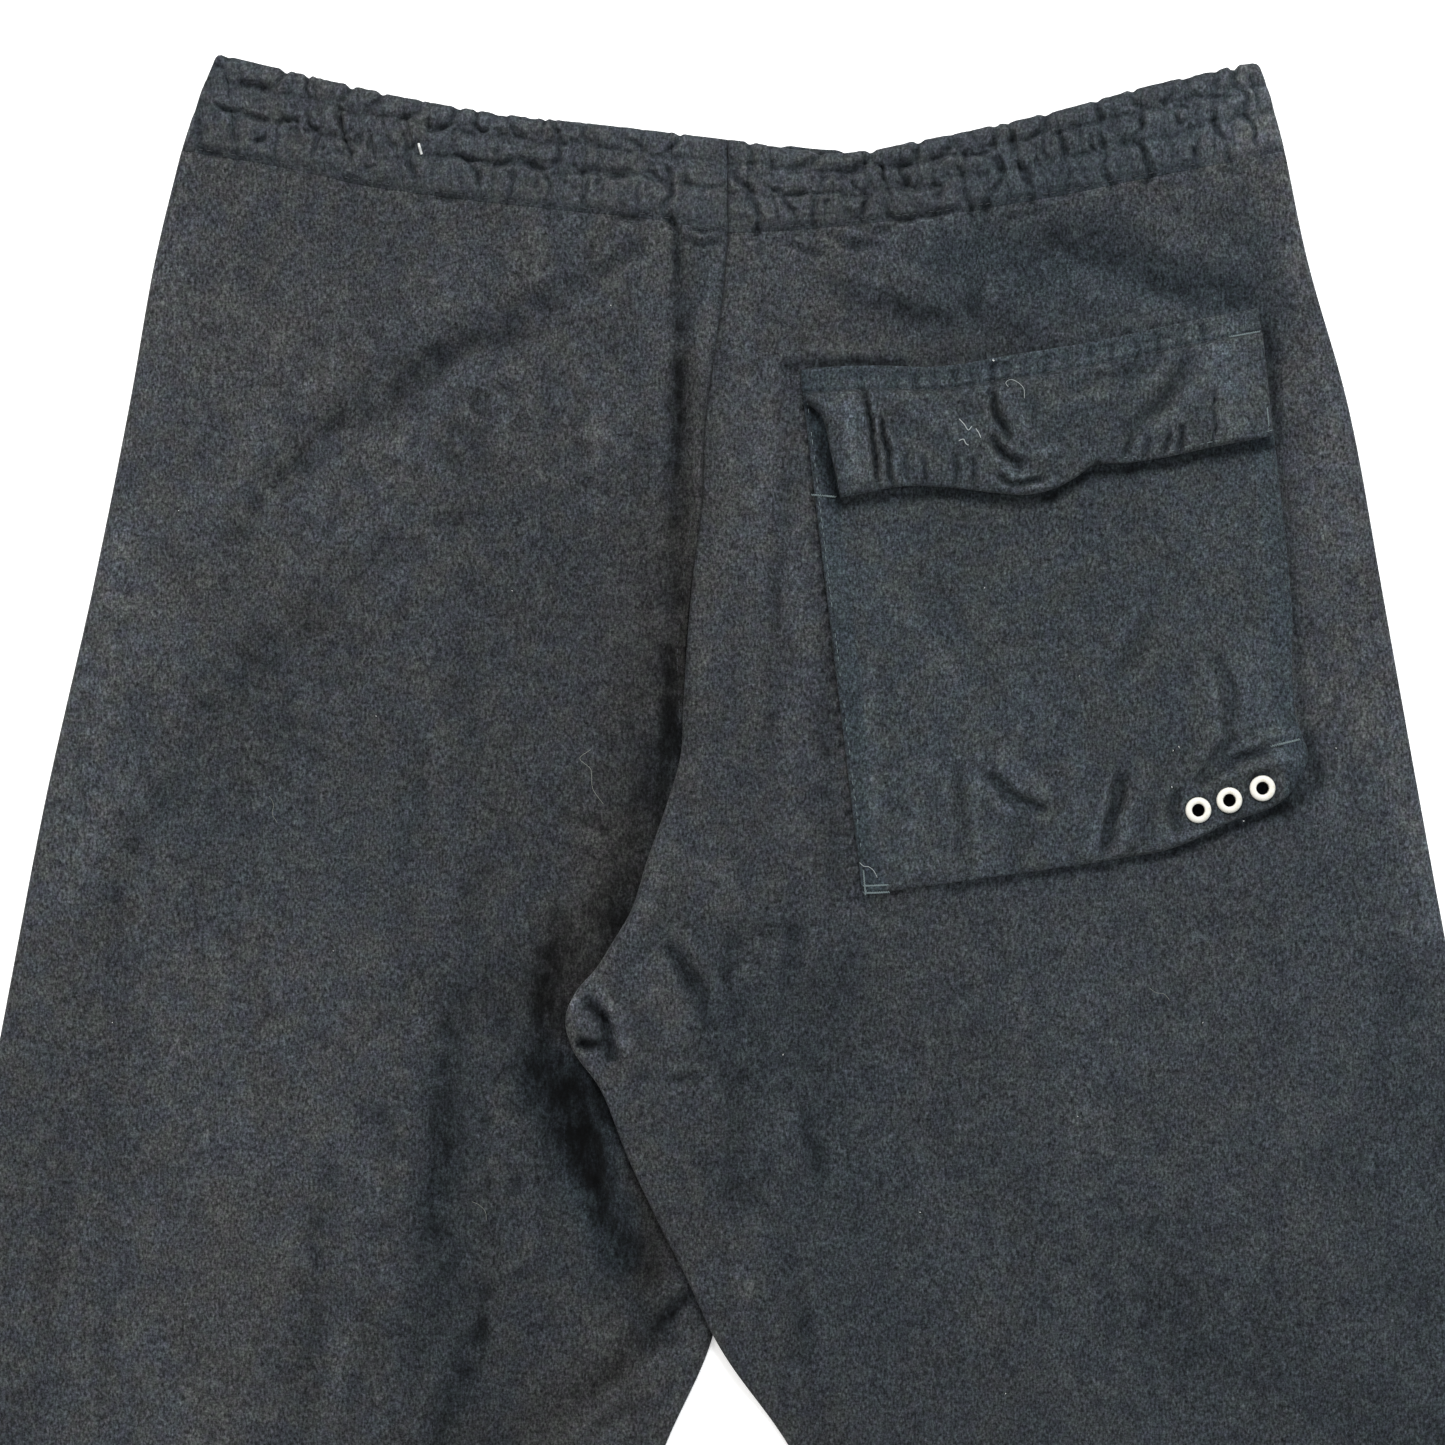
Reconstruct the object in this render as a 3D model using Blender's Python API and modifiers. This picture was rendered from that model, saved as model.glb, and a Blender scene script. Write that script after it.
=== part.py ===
"""Wool trousers laid flat on a surface, back upwards and waist at the top.

Two front panels lie on the surface and two back panels lie on them. The right leg crosses a little
over the left one at the crotch. A gathered casing closes the waist, and the right back carries a
patch pocket with a flap and three eyelets.

Sizes in the tables are in millimetres, as a pattern cutter would give them: how far across from the
centre-back waist (plus is to the right) and how far down from it, towards the hem. Heights are above
the surface that the trousers lie on.
"""

from collections import namedtuple

import bmesh
import bpy
import numpy as np

MM = 0.001

# Cloth and seams
CLOTH = 1.4
SEAM_GAP = 0.3
LAYER_GAP = 0.3
FRONT_SIDE_INSET = 3.8
FRONT_INNER_INSET = 4.6
EDGE_ROLL = 6.5
EDGE_FOOT = 1.0
BACK_REST = 2.8
PRESSED_REST = 1.8
LEG_LIFT = PRESSED_REST + CLOTH + 0.4
LIFT_FROM_EDGE = (10.0, 38.0)

# The waist seam, where the casing meets the panels: across, down
WAIST_SEAM_LEFT = (
    (-205.5, 3.8),
    (-169.0, 9.8),
    (-136.5, 16.9),
    (-96.4, 22.5),
    (-63.0, 26.2),
    (-27.0, 29.8),
    (0.0, 34.9),
)
WAIST_SEAM_RIGHT = (
    (0.0, 34.9),
    (31.0, 33.2),
    (63.8, 30.0),
    (123.0, 21.0),
    (155.0, 14.6),
    (196.9, 6.4),
    (209.2, 3.8),
)

# The waist's top edge: across, down
WAIST_TOP_LEFT = (
    (-193.1, -33.0),
    (-160.5, -25.1),
    (-123.0, -16.5),
    (-85.5, -10.1),
    (-48.0, -6.0),
    (0.0, -0.4),
)
WAIST_TOP_RIGHT = (
    (0.0, -0.4),
    (45.8, 4.5),
    (73.9, -0.4),
    (120.8, -10.5),
    (158.2, -20.6),
    (200.2, -30.0),
)

# Side seams, from the waist seam to the hem: across, down
SIDE_LEFT = (
    (-205.5, 3.8),
    (-214.5, 41.0),
    (-224.6, 97.5),
    (-239.6, 172.5),
    (-256.5, 247.5),
    (-270.8, 322.5),
    (-325.6, 620.0),
    (-387.1, 953.4),
)
SIDE_RIGHT = (
    (209.2, 3.8),
    (216.8, 41.0),
    (232.5, 97.5),
    (246.4, 172.5),
    (263.2, 266.2),
    (330.0, 610.0),
    (395.9, 946.4),
)

# Centre-back seam, from the waist seam to where the right leg starts to cross the left: across, down
CENTRE_BACK = (
    (0.0, 34.9),
    (-2.2, 60.0),
    (-6.0, 86.2),
    (-8.6, 105.0),
    (-9.8, 135.0),
    (-13.4, 165.0),
    (-15.6, 191.2),
)
# Centre-front seam, on the underside: across, down
CENTRE_FRONT = (
    (0.0, 34.9),
    (-1.8, 150.0),
    (-4.4, 240.0),
    (-5.3, 258.0),
    (-6.0, 268.0),
)

# Inner edges below those seams, down to the hem: across, down
BACK_LEFT_INNER = (
    (-14.4, 222.0),
    (-16.0, 256.0),
    (-23.6, 296.2),
    (-23.6, 337.5),
    (-16.1, 363.8),
    (-6.8, 397.5),
    (-1.5, 427.5),
    (-5.6, 448.1),
    (-23.2, 489.0),
    (-70.0, 630.0),
    (-130.0, 810.0),
    (-192.6, 1000.1),
)
BACK_RIGHT_INNER = (
    (-16.8, 214.0),
    (-17.6, 230.0),
    (-23.2, 250.0),
    (-30.6, 271.0),
    (-36.8, 290.0),
    (-42.8, 300.0),
    (-49.0, 310.0),
    (-57.4, 320.0),
    (-61.0, 330.0),
    (-58.8, 339.5),
    (-48.0, 355.5),
    (-38.6, 378.8),
    (-27.4, 403.1),
    (-14.2, 429.4),
    (-5.6, 448.1),
    (22.1, 489.0),
    (82.0, 610.0),
    (142.0, 780.0),
    (202.9, 998.4),
)
FRONT_LEFT_CROTCH = (
    (-9.5, 290.0),
    (-14.5, 317.0),
    (-18.0, 345.0),
    (-15.5, 372.0),
)
FRONT_RIGHT_CROTCH = (
    (-8.5, 284.0),
    (-18.0, 302.0),
    (-34.0, 315.5),
    (-50.0, 325.5),
)
# How many of the back inner edge's last rows the front one follows, under it
FOLLOWING_ROWS_LEFT = 7
FOLLOWING_ROWS_RIGHT = 9

# Folds that the cloth has fallen into. Each is a crest, or a trough where its height is negative, on
# a curve through three points. Columns: panel, start, middle, end, half width, height
Fold = namedtuple("Fold", "panel start middle end half_width height")
FOLDS = (
    Fold("left", (-33, 44), (-108, 87), (-186, 148), 10, -0.8),
    Fold("left", (-44, 74), (-112, 116), (-165, 160), 16, 1.9),
    Fold("left", (-60, 36), (-125, 66), (-185, 112), 14, 1.0),
    Fold("left", (-85, 146), (-134, 158), (-204, 232), 11, -0.8),
    Fold("left", (-120, 190), (-160, 225), (-200, 290), 18, 1.0),
    Fold("left", (-19, 66), (-20, 105), (-22, 150), 7, -0.9),
    Fold("left", (-40, 84), (-44, 112), (-52, 150), 13, 1.2),
    Fold("left", (-78, 186), (-86, 228), (-68, 276), 16, 0.9),
    Fold("left", (-106, 318), (-107, 371), (-98, 480), 11, -0.9),
    Fold("left", (-86, 330), (-82, 380), (-76, 440), 10, 1.2),
    Fold("left", (-128, 330), (-136, 400), (-140, 480), 14, 1.2),
    Fold("left", (-66, 320), (-56, 368), (-40, 424), 11, -0.9),
    Fold("left", (-13, 433), (-38, 459), (-66, 488), 8, -0.9),
    Fold("left", (-158, 390), (-160, 440), (-170, 520), 10, -0.7),
    Fold("left", (-120, 560), (-170, 690), (-240, 850), 12, -0.9),
    Fold("left", (-200, 480), (-240, 640), (-290, 820), 20, 1.3),
    Fold("left", (-110, 640), (-160, 780), (-210, 930), 15, 1.1),
    Fold("right", (118, 34), (150, 47), (186, 58), 8, -0.9),
    Fold("right", (96, 44), (128, 56), (158, 64), 8, 1.2),
    Fold("right", (150, 30), (176, 40), (204, 50), 8, 1.0),
    Fold("right", (44, 56), (76, 69), (108, 67), 7, -0.9),
    Fold("right", (36, 46), (66, 55), (96, 52), 8, 1.0),
    Fold("right", (20, 44), (22, 120), (12, 235), 7, -0.7),
    Fold("right", (5, 48), (6, 120), (-4, 225), 10, 0.9),
    Fold("right", (-18, 304), (-10, 324), (-4, 346), 7, -0.9),
    Fold("right", (24, 294), (14, 316), (11, 342), 8, -0.9),
    Fold("right", (2, 362), (4, 382), (3, 410), 7, -0.8),
    Fold("right", (-30, 300), (0, 285), (24, 262), 12, 1.1),
    Fold("right", (-40, 340), (-20, 346), (-4, 362), 8, 1.0),
    Fold("right", (18, 372), (20, 410), (30, 450), 10, 1.0),
    Fold("right", (240, 300), (262, 352), (280, 420), 12, -0.7),
    Fold("right", (110, 330), (150, 420), (170, 520), 24, 0.9),
    Fold("right", (60, 480), (120, 620), (190, 800), 13, -0.8),
    Fold("right", (180, 560), (240, 700), (300, 860), 20, 1.2),
    Fold("right", (130, 640), (180, 790), (240, 930), 14, 1.0),
)
FOLD_STEPS = 36
FOLD_CALM_AT_SEAM = 12.0
CALM_SEAM_ENDS = 220.0

# How far down the layers change at the crotch: where a change starts, and where it is complete
BACK_LIFTS = (145.0, 190.0)
FRONT_LIFTS = (238.0, 274.0)
LEFT_PRESSED = (155.0, 208.0)
RIGHT_INNER_ROLLS = (172.0, 240.0)
LEFT_INNER_ROLLS = (398.0, 440.0)
PRESS_RUN = (2.0, 16.0)

# Waist casing. Columns: share of its height from the seam, height above its underside, puff height,
# and which row of puffs it belongs to
CASING_REST = 3.0
CASING_WALL = 1.8
CASING_FRONT_WALL = 2.2
CASING_FRONT_INSET = 6.0
CASING_LENGTH = 200.0
CASING_END_FOOT = 0.3
CASING_COLUMNS = 66
CASING_ROWS = (
    (0.00, 1.3, 0.0, "lower"),
    (0.08, 1.8, 0.8, "lower"),
    (0.24, 1.9, 1.7, "lower"),
    (0.41, 1.7, 1.2, "lower"),
    (0.48, 1.5, 0.1, "channel"),
    (0.60, 1.9, 1.5, "channel"),
    (0.73, 1.5, 0.1, "channel"),
    (0.85, 1.9, 1.3, "top"),
    (0.96, 1.5, 1.0, "top"),
    (1.00, 0.8, 0.2, "top"),
)
PUFFS_LEFT = {"lower": 14, "channel": 25, "top": 13}
PUFFS_RIGHT = {"lower": 19, "channel": 27, "top": 15}
PUFF_UNEVEN = 0.35
# Distances from the centre-back seam over which the gathers start, and start beside the flat patch
CENTRE_SEAM_FLAT = (0.0, 3.0)
FLAT_PATCH = (9.0, 14.0)
FRONT_TOP_DROP = 1.2
FRONT_PEEK = 2.8
# Where the front waist starts to peek out above the back one, is fully out, and goes back under it
FRONT_PEEK_ACROSS = (15.0, 24.0, 40.0, 48.0)

# Patch pocket on the right back: across, down
POCKET_TOP = ((28.1, 97.4), (80.0, 96.0), (104.0, 92.2), (140.0, 86.2), (200.2, 74.2))
POCKET_LEFT = ((28.1, 97.4), (32.6, 135.0), (50.3, 283.1))
POCKET_RIGHT = ((200.2, 74.2), (205.1, 116.2), (211.0, 172.0), (216.4, 225.0), (216.8, 240.5))
POCKET_BOTTOM = ((50.3, 283.1), (112.0, 273.6), (176.0, 262.6), (204.0, 251.5), (216.8, 240.5))
POCKET_CALM = (-16.0, -4.0)
POCKET_EASE = 0.6
# Distances below the flap's edge over which the pocket eases out
BELOW_FLAP = (2.0, 12.0)
# Folds of the pocket's cloth, as above, but raised in its outer side only
POCKET_FOLDS = (
    Fold("pocket", (72, 168), (98, 196), (112, 214), 6, -0.5),
    Fold("pocket", (92, 228), (104, 240), (116, 248), 6, -0.6),
    Fold("pocket", (141, 222), (143, 240), (140, 262), 6, -0.6),
    Fold("pocket", (160, 150), (153, 182), (146, 214), 7, -0.5),
    Fold("pocket", (124, 214), (128, 236), (126, 262), 8, 0.7),
    Fold("pocket", (86, 206), (96, 222), (112, 232), 7, 0.7),
    Fold("pocket", (150, 200), (164, 226), (172, 250), 8, 0.6),
    Fold("pocket", (176, 190), (186, 206), (192, 222), 7, -0.5),
)
POCKET_WIDTH = 170.0
POCKET_DEPTH = 187.0
POCKET_CELLS = 14

# Pocket flap: across, down
FLAP_TOP = ((27.0, 86.0), (53.0, 84.6), (80.0, 84.8), (104.0, 81.0), (140.0, 75.0), (198.8, 63.0))
FLAP_LEFT = ((27.0, 86.0), (35.0, 100.0), (42.0, 134.5))
FLAP_RIGHT = ((198.8, 63.0), (200.6, 85.0), (201.4, 111.8))
FLAP_BOTTOM = (
    (42.0, 134.5),
    (60.0, 130.0),
    (82.0, 130.4),
    (104.0, 132.8),
    (118.0, 130.6),
    (132.0, 124.0),
    (160.0, 119.8),
    (201.4, 111.8),
)
# Distances down from its top, where it steps up over the pocket and where its folds start
FLAP_STEP = (5.5, 10.0)
FLAP_FOLDS_START = (8.0, 13.0)
FLAP_EASE = 0.5
FLAP_FOLDS = (
    Fold("flap", (37, 100), (42, 116), (47, 132), 3.5, 1.6),
    Fold("flap", (52, 98), (55, 114), (58, 130), 3.0, -0.5),
    Fold("flap", (62, 98), (72, 112), (86, 122), 5.0, 1.1),
    Fold("flap", (86, 92), (97, 112), (108, 124), 5.0, -0.5),
    Fold("flap", (92, 90), (106, 104), (120, 114), 5.0, 1.1),
    Fold("flap", (128, 116), (144, 108), (166, 96), 5.0, -0.5),
    Fold("flap", (150, 112), (172, 100), (186, 84), 6.0, 0.9),
)
FLAP_WIDTH = 174.0
FLAP_COLUMNS = 25
FLAP_ROWS = (0.0, 0.03, 0.11, 0.2, 0.33, 0.48, 0.63, 0.8, 0.97, 1.0)
# The edges of a pressed piece are thinner: over what distance, and down to what share
PIECE_EDGE = 1.4
PIECE_EDGE_SHARE = 0.55

# Eyelets through the pocket's lower right corner: centre across, centre down
EYELETS = (
    (175.9, 251.2),
    (187.5, 247.5),
    (199.9, 243.0),
)
# Distances from an eyelet's centre, where the pocket is flat and where its folds are full again
EYELET_FLAT = (9.0, 17.0)
HOLE_RADIUS = 3.25
HOLE_DEPTH = 8.0
HOLE_SIDES = 20
EYELET_STEPS = 18
# Section of the turned ring, down its outer side and up its bore: radius, height above the cloth
EYELET_SECTION = (
    (2.45, 0.95),
    (3.05, 1.30),
    (4.00, 1.25),
    (4.75, 0.90),
    (5.05, 0.30),
    (2.95, 0.25),
    (2.95, -1.35),
    (2.45, -1.35),
)

# Grid of a back panel: stations from its rolled edges in millimetres, then even ones between them
EDGE_STATIONS = (1.0, 2.8, 6.5)
BACK_BETWEEN = 13
BACK_ROWS_ABOVE = 30
BACK_ROWS_BELOW = 9
PANEL_WIDTH = 230.0
PANEL_LENGTH = 960.0
SHARE_IN_DETAIL = 0.5
FRONT_STATIONS_LEFT = (14.0, 40.0)
FRONT_STATIONS_RIGHT = (8.0, 16.0, 25.0, 36.0, 52.0)
FRONT_BETWEEN = 6
FRONT_ROWS_ABOVE = 24
FRONT_ROWS_BELOW = 7
FRONT_WAIST_GAP = 1.0
FRONT_CASING_COLUMNS = 26
FRONT_CASING_ROWS = 1

ORIGIN_ACROSS = (SIDE_LEFT[-1][0] + SIDE_RIGHT[-1][0]) / 2
ORIGIN_DOWN = (WAIST_TOP_LEFT[0][1] + BACK_LEFT_INNER[-1][1]) / 2

# Finishes: base colour, roughness, metallic
FINISHES = {
    "wool_flannel": ((0.050, 0.055, 0.061), 0.95, 0.0),
    "wool_casing": ((0.052, 0.058, 0.064), 0.95, 0.0),
    "pocket_flannel": ((0.051, 0.058, 0.064), 0.95, 0.0),
    "eyelet_enamel": ((0.78, 0.76, 0.70), 0.35, 0.0),
}


def smooth_step(low, high, value):
    share = np.clip((np.asarray(value, float) - low) / (high - low), 0.0, 1.0)
    return share * share * (3 - 2 * share)


def curve_through(rows, shares):
    """Points on a smooth curve through the rows, at these shares of its length."""
    rows = np.array(rows, float)
    shares = np.asarray(shares, float)
    lengths = np.linalg.norm(np.diff(rows, axis=0), axis=1)
    knots = np.concatenate([[0.0], np.cumsum(lengths)]) / lengths.sum()
    slopes = np.gradient(rows, knots, axis=0)
    at = np.clip(np.searchsorted(knots, shares, side="right") - 1, 0, len(rows) - 2)
    span = (knots[at + 1] - knots[at])[..., None]
    t = (shares - knots[at])[..., None] / span
    start = (1 + 2 * t) * (1 - t) ** 2 * rows[at] + t * (1 - t) ** 2 * span * slopes[at]
    end = t * t * (3 - 2 * t) * rows[at + 1] + t * t * (t - 1) * span * slopes[at + 1]
    return start + end


def moved(rows, across=0.0, down=0.0):
    return tuple((a + across, d + down) for a, d in rows)


def parted(rows, panel):
    """A waist curve's half, its centre end moved half a seam gap to its own side."""
    if panel == "left":
        return rows[:-1] + moved(rows[-1:], -SEAM_GAP / 2)
    return moved(rows[:1], SEAM_GAP / 2) + rows[1:]


def across_at(rows, down):
    """How far across an edge lies at this distance down, for an edge that always runs down."""
    dense = curve_through(rows, np.linspace(0, 1, 200))
    return np.interp(down, dense[:, 1], dense[:, 0])


def patch(top, bottom, left, right, u, v):
    """Points of the patch that four edge curves bound. u runs from left to right, v from top to
    bottom, both from 0 to 1."""
    upper, lower = curve_through(top, u), curve_through(bottom, u)
    side_a, side_b = curve_through(left, v), curve_through(right, v)
    u, v = u[:, None], v[:, None]
    ruled_down = (1 - v) * upper + v * lower
    ruled_across = (1 - u) * side_a + u * side_b
    corners_a = (1 - v) * np.array(left[0]) + v * np.array(left[-1])
    corners_b = (1 - v) * np.array(right[0]) + v * np.array(right[-1])
    return ruled_down + ruled_across - (1 - u) * corners_a - u * corners_b


def fold_relief(points, folds):
    """How far the folds raise the cloth at these points."""
    relief = np.zeros(len(points))
    for fold in folds:
        path = curve_through((fold.start, fold.middle, fold.end), np.linspace(0, 1, FOLD_STEPS))
        away = np.linalg.norm(points[:, None] - path[None], axis=2)
        nearest = away.argmin(axis=1)
        fade = np.sin(np.pi * nearest / (FOLD_STEPS - 1)) ** 0.5
        relief += fold.height * fade * np.exp(-((away.min(axis=1) / fold.half_width) ** 2))
    return relief


def rolled(height, foot, distance, amount=1.0):
    """The height near an edge where the cloth rolls down to its foot."""
    inside = np.clip(1 - distance / EDGE_ROLL, 0.0, 1.0)
    fall = 1 - np.sqrt(1 - inside * inside)
    return height - amount * (height - foot) * fall


BACK_LEFT_EDGE = moved(CENTRE_BACK, -SEAM_GAP / 2) + BACK_LEFT_INNER
BACK_RIGHT_EDGE = moved(CENTRE_BACK, SEAM_GAP / 2) + BACK_RIGHT_INNER
FRONT_LEFT_EDGE = (
    moved(CENTRE_FRONT, -SEAM_GAP / 2)
    + FRONT_LEFT_CROTCH
    + moved(BACK_LEFT_INNER[-FOLLOWING_ROWS_LEFT:], -FRONT_INNER_INSET)
)
FRONT_RIGHT_EDGE = (
    moved(CENTRE_FRONT, SEAM_GAP / 2)
    + FRONT_RIGHT_CROTCH
    + moved(BACK_RIGHT_INNER[-FOLLOWING_ROWS_RIGHT:], FRONT_INNER_INSET)
)


def lift_over_left_leg(points, starts):
    """How high the right leg lies where it crosses the left one, and zero off it."""
    past_edge = points[:, 0] - across_at(BACK_LEFT_EDGE, points[:, 1])
    beside = 1 - smooth_step(*LIFT_FROM_EDGE, past_edge)
    return LEG_LIFT * beside * smooth_step(*starts, points[:, 1])


def pressed_by_right_leg(points):
    """1 where the right leg lies on the left back, and 0 clear of it."""
    before_edge = across_at(BACK_RIGHT_EDGE, points[:, 1]) - points[:, 0]
    beside = 1 - smooth_step(*PRESS_RUN, before_edge)
    return beside * smooth_step(*LEFT_PRESSED, points[:, 1])


def under_pocket(points):
    """1 under the pocket and its flap, where the back lies smooth, and 0 clear of them."""
    down_left = across_at(POCKET_LEFT, points[:, 1])
    down_right = across_at(POCKET_RIGHT, points[:, 1])
    top = np.interp(points[:, 0], *np.array(FLAP_TOP).T)
    bottom = np.interp(points[:, 0], *np.array(POCKET_BOTTOM).T)
    inside = np.minimum.reduce(
        [
            points[:, 0] - down_left,
            down_right - points[:, 0],
            points[:, 1] - top,
            bottom - points[:, 1],
        ]
    )
    return smooth_step(*POCKET_CALM, inside)


def back_height(points, panel, seam_distance):
    """Height of a back panel's outer side, before its edges roll down."""
    relief = fold_relief(points, [fold for fold in FOLDS if fold.panel == panel])
    relief *= smooth_step(0.0, FOLD_CALM_AT_SEAM, seam_distance)
    relief = np.maximum(relief, PRESSED_REST - BACK_REST)
    if panel == "left":
        pressed = pressed_by_right_leg(points)
        relief = relief * (1 - pressed) + (PRESSED_REST - BACK_REST) * pressed
        return BACK_REST + CLOTH + relief
    relief *= 1 - under_pocket(points)
    return lift_over_left_leg(points, BACK_LIFTS) + BACK_REST + CLOTH + relief


def grid_object(name, across_shares, down_shares, place):
    """An open sheet: a plane of cells whose corners place() puts where they belong."""
    columns, rows = len(across_shares) - 1, len(down_shares) - 1
    mesh = bpy.data.meshes.new(name)
    sheet = bmesh.new()
    bmesh.ops.create_grid(sheet, x_segments=columns, y_segments=rows, size=0.5)
    share = np.array([corner.co[:2] for corner in sheet.verts]) + 0.5
    column = np.rint(share[:, 0] * columns).astype(int)
    row = np.rint((1 - share[:, 1]) * rows).astype(int)
    points, heights = place(np.array(across_shares)[column], np.array(down_shares)[row])
    for corner, spot in zip(sheet.verts, in_metres(points, heights)):
        corner.co = spot
    sheet.to_mesh(mesh)
    sheet.free()
    return add_object(name, mesh)


def loft_object(name, rings):
    """A closed body through rings of points, each ring with as many points as the last."""
    count = len(rings[0])
    corners = np.concatenate(rings)
    faces = []
    for first in range(0, count * (len(rings) - 1), count):
        for i in range(count):
            j = (i + 1) % count
            faces.append((first + i, first + j, first + count + j, first + count + i))
    last = count * (len(rings) - 1)
    faces.append(tuple(range(count - 1, -1, -1)))
    faces.append(tuple(range(last, last + count)))
    return closed_object(name, corners, faces)


def two_sided_object(name, outer, inner):
    """A closed body between an outer and an inner grid of points, with a rim round its four edges."""
    rows, columns = outer.shape[:2]
    number = np.arange(rows * columns).reshape(rows, columns)
    below = number + rows * columns
    faces = []
    for i in range(rows - 1):
        for j in range(columns - 1):
            cell = (i, j), (i + 1, j), (i + 1, j + 1), (i, j + 1)
            faces.append([number[at] for at in cell])
            faces.append([below[at] for at in reversed(cell)])
    edge = [(0, j) for j in range(columns)] + [(i, columns - 1) for i in range(1, rows)]
    edge += [(rows - 1, j) for j in range(columns - 2, -1, -1)] + [(i, 0) for i in range(rows - 2, 0, -1)]
    for at, following in zip(edge, edge[1:] + edge[:1]):
        faces.append([number[at], number[following], below[following], below[at]])
    corners = np.concatenate([outer.reshape(-1, 3), inner.reshape(-1, 3)])
    return closed_object(name, corners, faces)


def closed_object(name, corners, faces):
    """A closed body of these faces, turned to face outwards."""
    body = bmesh.new()
    points = [body.verts.new(corner) for corner in corners]
    for face in faces:
        body.faces.new([points[at] for at in face])
    bmesh.ops.recalc_face_normals(body, faces=body.faces)
    mesh = bpy.data.meshes.new(name)
    body.to_mesh(mesh)
    body.free()
    return add_object(name, mesh)


def in_metres(points, heights):
    return np.stack(
        [
            (points[:, 0] - ORIGIN_ACROSS) * MM,
            (ORIGIN_DOWN - points[:, 1]) * MM,
            np.broadcast_to(heights, len(points)) * MM,
        ],
        axis=1,
    )


def add_object(name, mesh, collection="wool_trousers"):
    thing = bpy.data.objects.new(name, mesh)
    bpy.data.collections[collection].objects.link(thing)
    return thing


def add_wall(thing, thickness):
    """Gives an open sheet its cloth thickness, inwards from its outer side."""
    wall = thing.modifiers.new("cloth", "SOLIDIFY")
    wall.thickness = thickness * MM
    wall.offset = -1
    wall.use_even_offset = True
    wall.use_rim = True


def finish(thing, finish_name):
    thing.data.shade_smooth()
    thing.data.set_sharp_from_angle(angle=np.radians(40))
    thing.data.materials.append(bpy.data.materials[finish_name])


def back_columns():
    """Shares across a back panel: close together at its rolled edges, even between them."""
    near = [0.0] + [distance / PANEL_WIDTH for distance in EDGE_STATIONS]
    even = np.linspace(near[-1], 1 - near[-1], BACK_BETWEEN + 1)[1:-1]
    return near + even.tolist() + [1 - share for share in reversed(near)]


def front_columns(panel):
    """Shares across a front panel, from left to right, closer together near the crotch."""
    inner = FRONT_STATIONS_LEFT if panel == "left" else FRONT_STATIONS_RIGHT
    near = [0.0] + [distance / PANEL_WIDTH for distance in inner]
    shares = np.concatenate([near, np.linspace(near[-1], 1, FRONT_BETWEEN + 1)[1:]])
    return 1 - shares[::-1] if panel == "left" else shares


def down_stations(rows_above, rows_below):
    """Shares down a panel: rows are closer together in the seat than in the legs."""
    above = np.linspace(0, SHARE_IN_DETAIL, rows_above + 1)
    below = np.linspace(SHARE_IN_DETAIL, 1, rows_below + 1)[1:]
    return np.concatenate([above, below])


def make_back(panel, waist, side, inner, inner_rolls):
    """One back panel, from its waist seam to its hem."""
    top = moved(parted(waist, panel), down=SEAM_GAP / 2)
    hem = (side[-1], inner[-1])
    on_left = panel == "left"
    left, right = (side, inner) if on_left else (inner, side)
    bottom = hem if on_left else hem[::-1]

    def place(u, v):
        points = patch(top, bottom, left, right, u, v)
        width = np.linalg.norm(curve_through(right, v) - curve_through(left, v), axis=1)
        from_side = (u if on_left else 1 - u) * width
        from_inner = (1 - u if on_left else u) * width
        from_waist = v * PANEL_LENGTH
        seam = np.where(points[:, 1] < CALM_SEAM_ENDS, from_inner, np.inf)
        height = back_height(points, panel, np.minimum(seam, from_waist))
        lift = 0.0 if on_left else lift_over_left_leg(points, BACK_LIFTS)
        height = rolled(height, lift + EDGE_FOOT, from_side)
        amount = smooth_step(*inner_rolls, points[:, 1])
        return points, rolled(height, lift + EDGE_FOOT, from_inner, amount)

    rows = down_stations(BACK_ROWS_ABOVE, BACK_ROWS_BELOW)
    thing = grid_object("back_" + panel, back_columns(), rows, place)
    add_wall(thing, CLOTH)
    finish(thing, "wool_flannel")


def make_front(panel, waist, side, inner):
    """One front panel, flat on the surface, or on the left leg where it crosses it."""
    on_left = panel == "left"
    inwards = FRONT_SIDE_INSET if on_left else -FRONT_SIDE_INSET
    side = moved(side, across=inwards)
    top = moved(parted(waist, panel), down=FRONT_WAIST_GAP)
    top = side[:1] + top[1:] if on_left else top[:-1] + side[:1]
    left, right = (side, inner) if on_left else (inner, side)

    def place(u, v):
        points = patch(top, (left[-1], right[-1]), left, right, u, v)
        lift = 0.0 if on_left else lift_over_left_leg(points, FRONT_LIFTS)
        return points, lift + CLOTH

    rows = down_stations(FRONT_ROWS_ABOVE, FRONT_ROWS_BELOW)
    thing = grid_object("front_" + panel, front_columns(panel), rows, place)
    add_wall(thing, CLOTH)
    finish(thing, "wool_flannel")


def puff_height(kind, share, puffs):
    """How full the gathers are along the casing: round puffs, unevenly wide, with sharp creases."""
    count = puffs[kind]
    shift = {"lower": 0.0, "channel": 0.37, "top": 0.71}[kind]
    turn = 2 * np.pi * (share + shift)
    uneven = PUFF_UNEVEN * (np.sin(3 * turn) + np.sin(7 * turn + 1)) / 2
    return np.abs(np.sin(np.pi * (count * share + uneven))) ** 0.7


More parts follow.
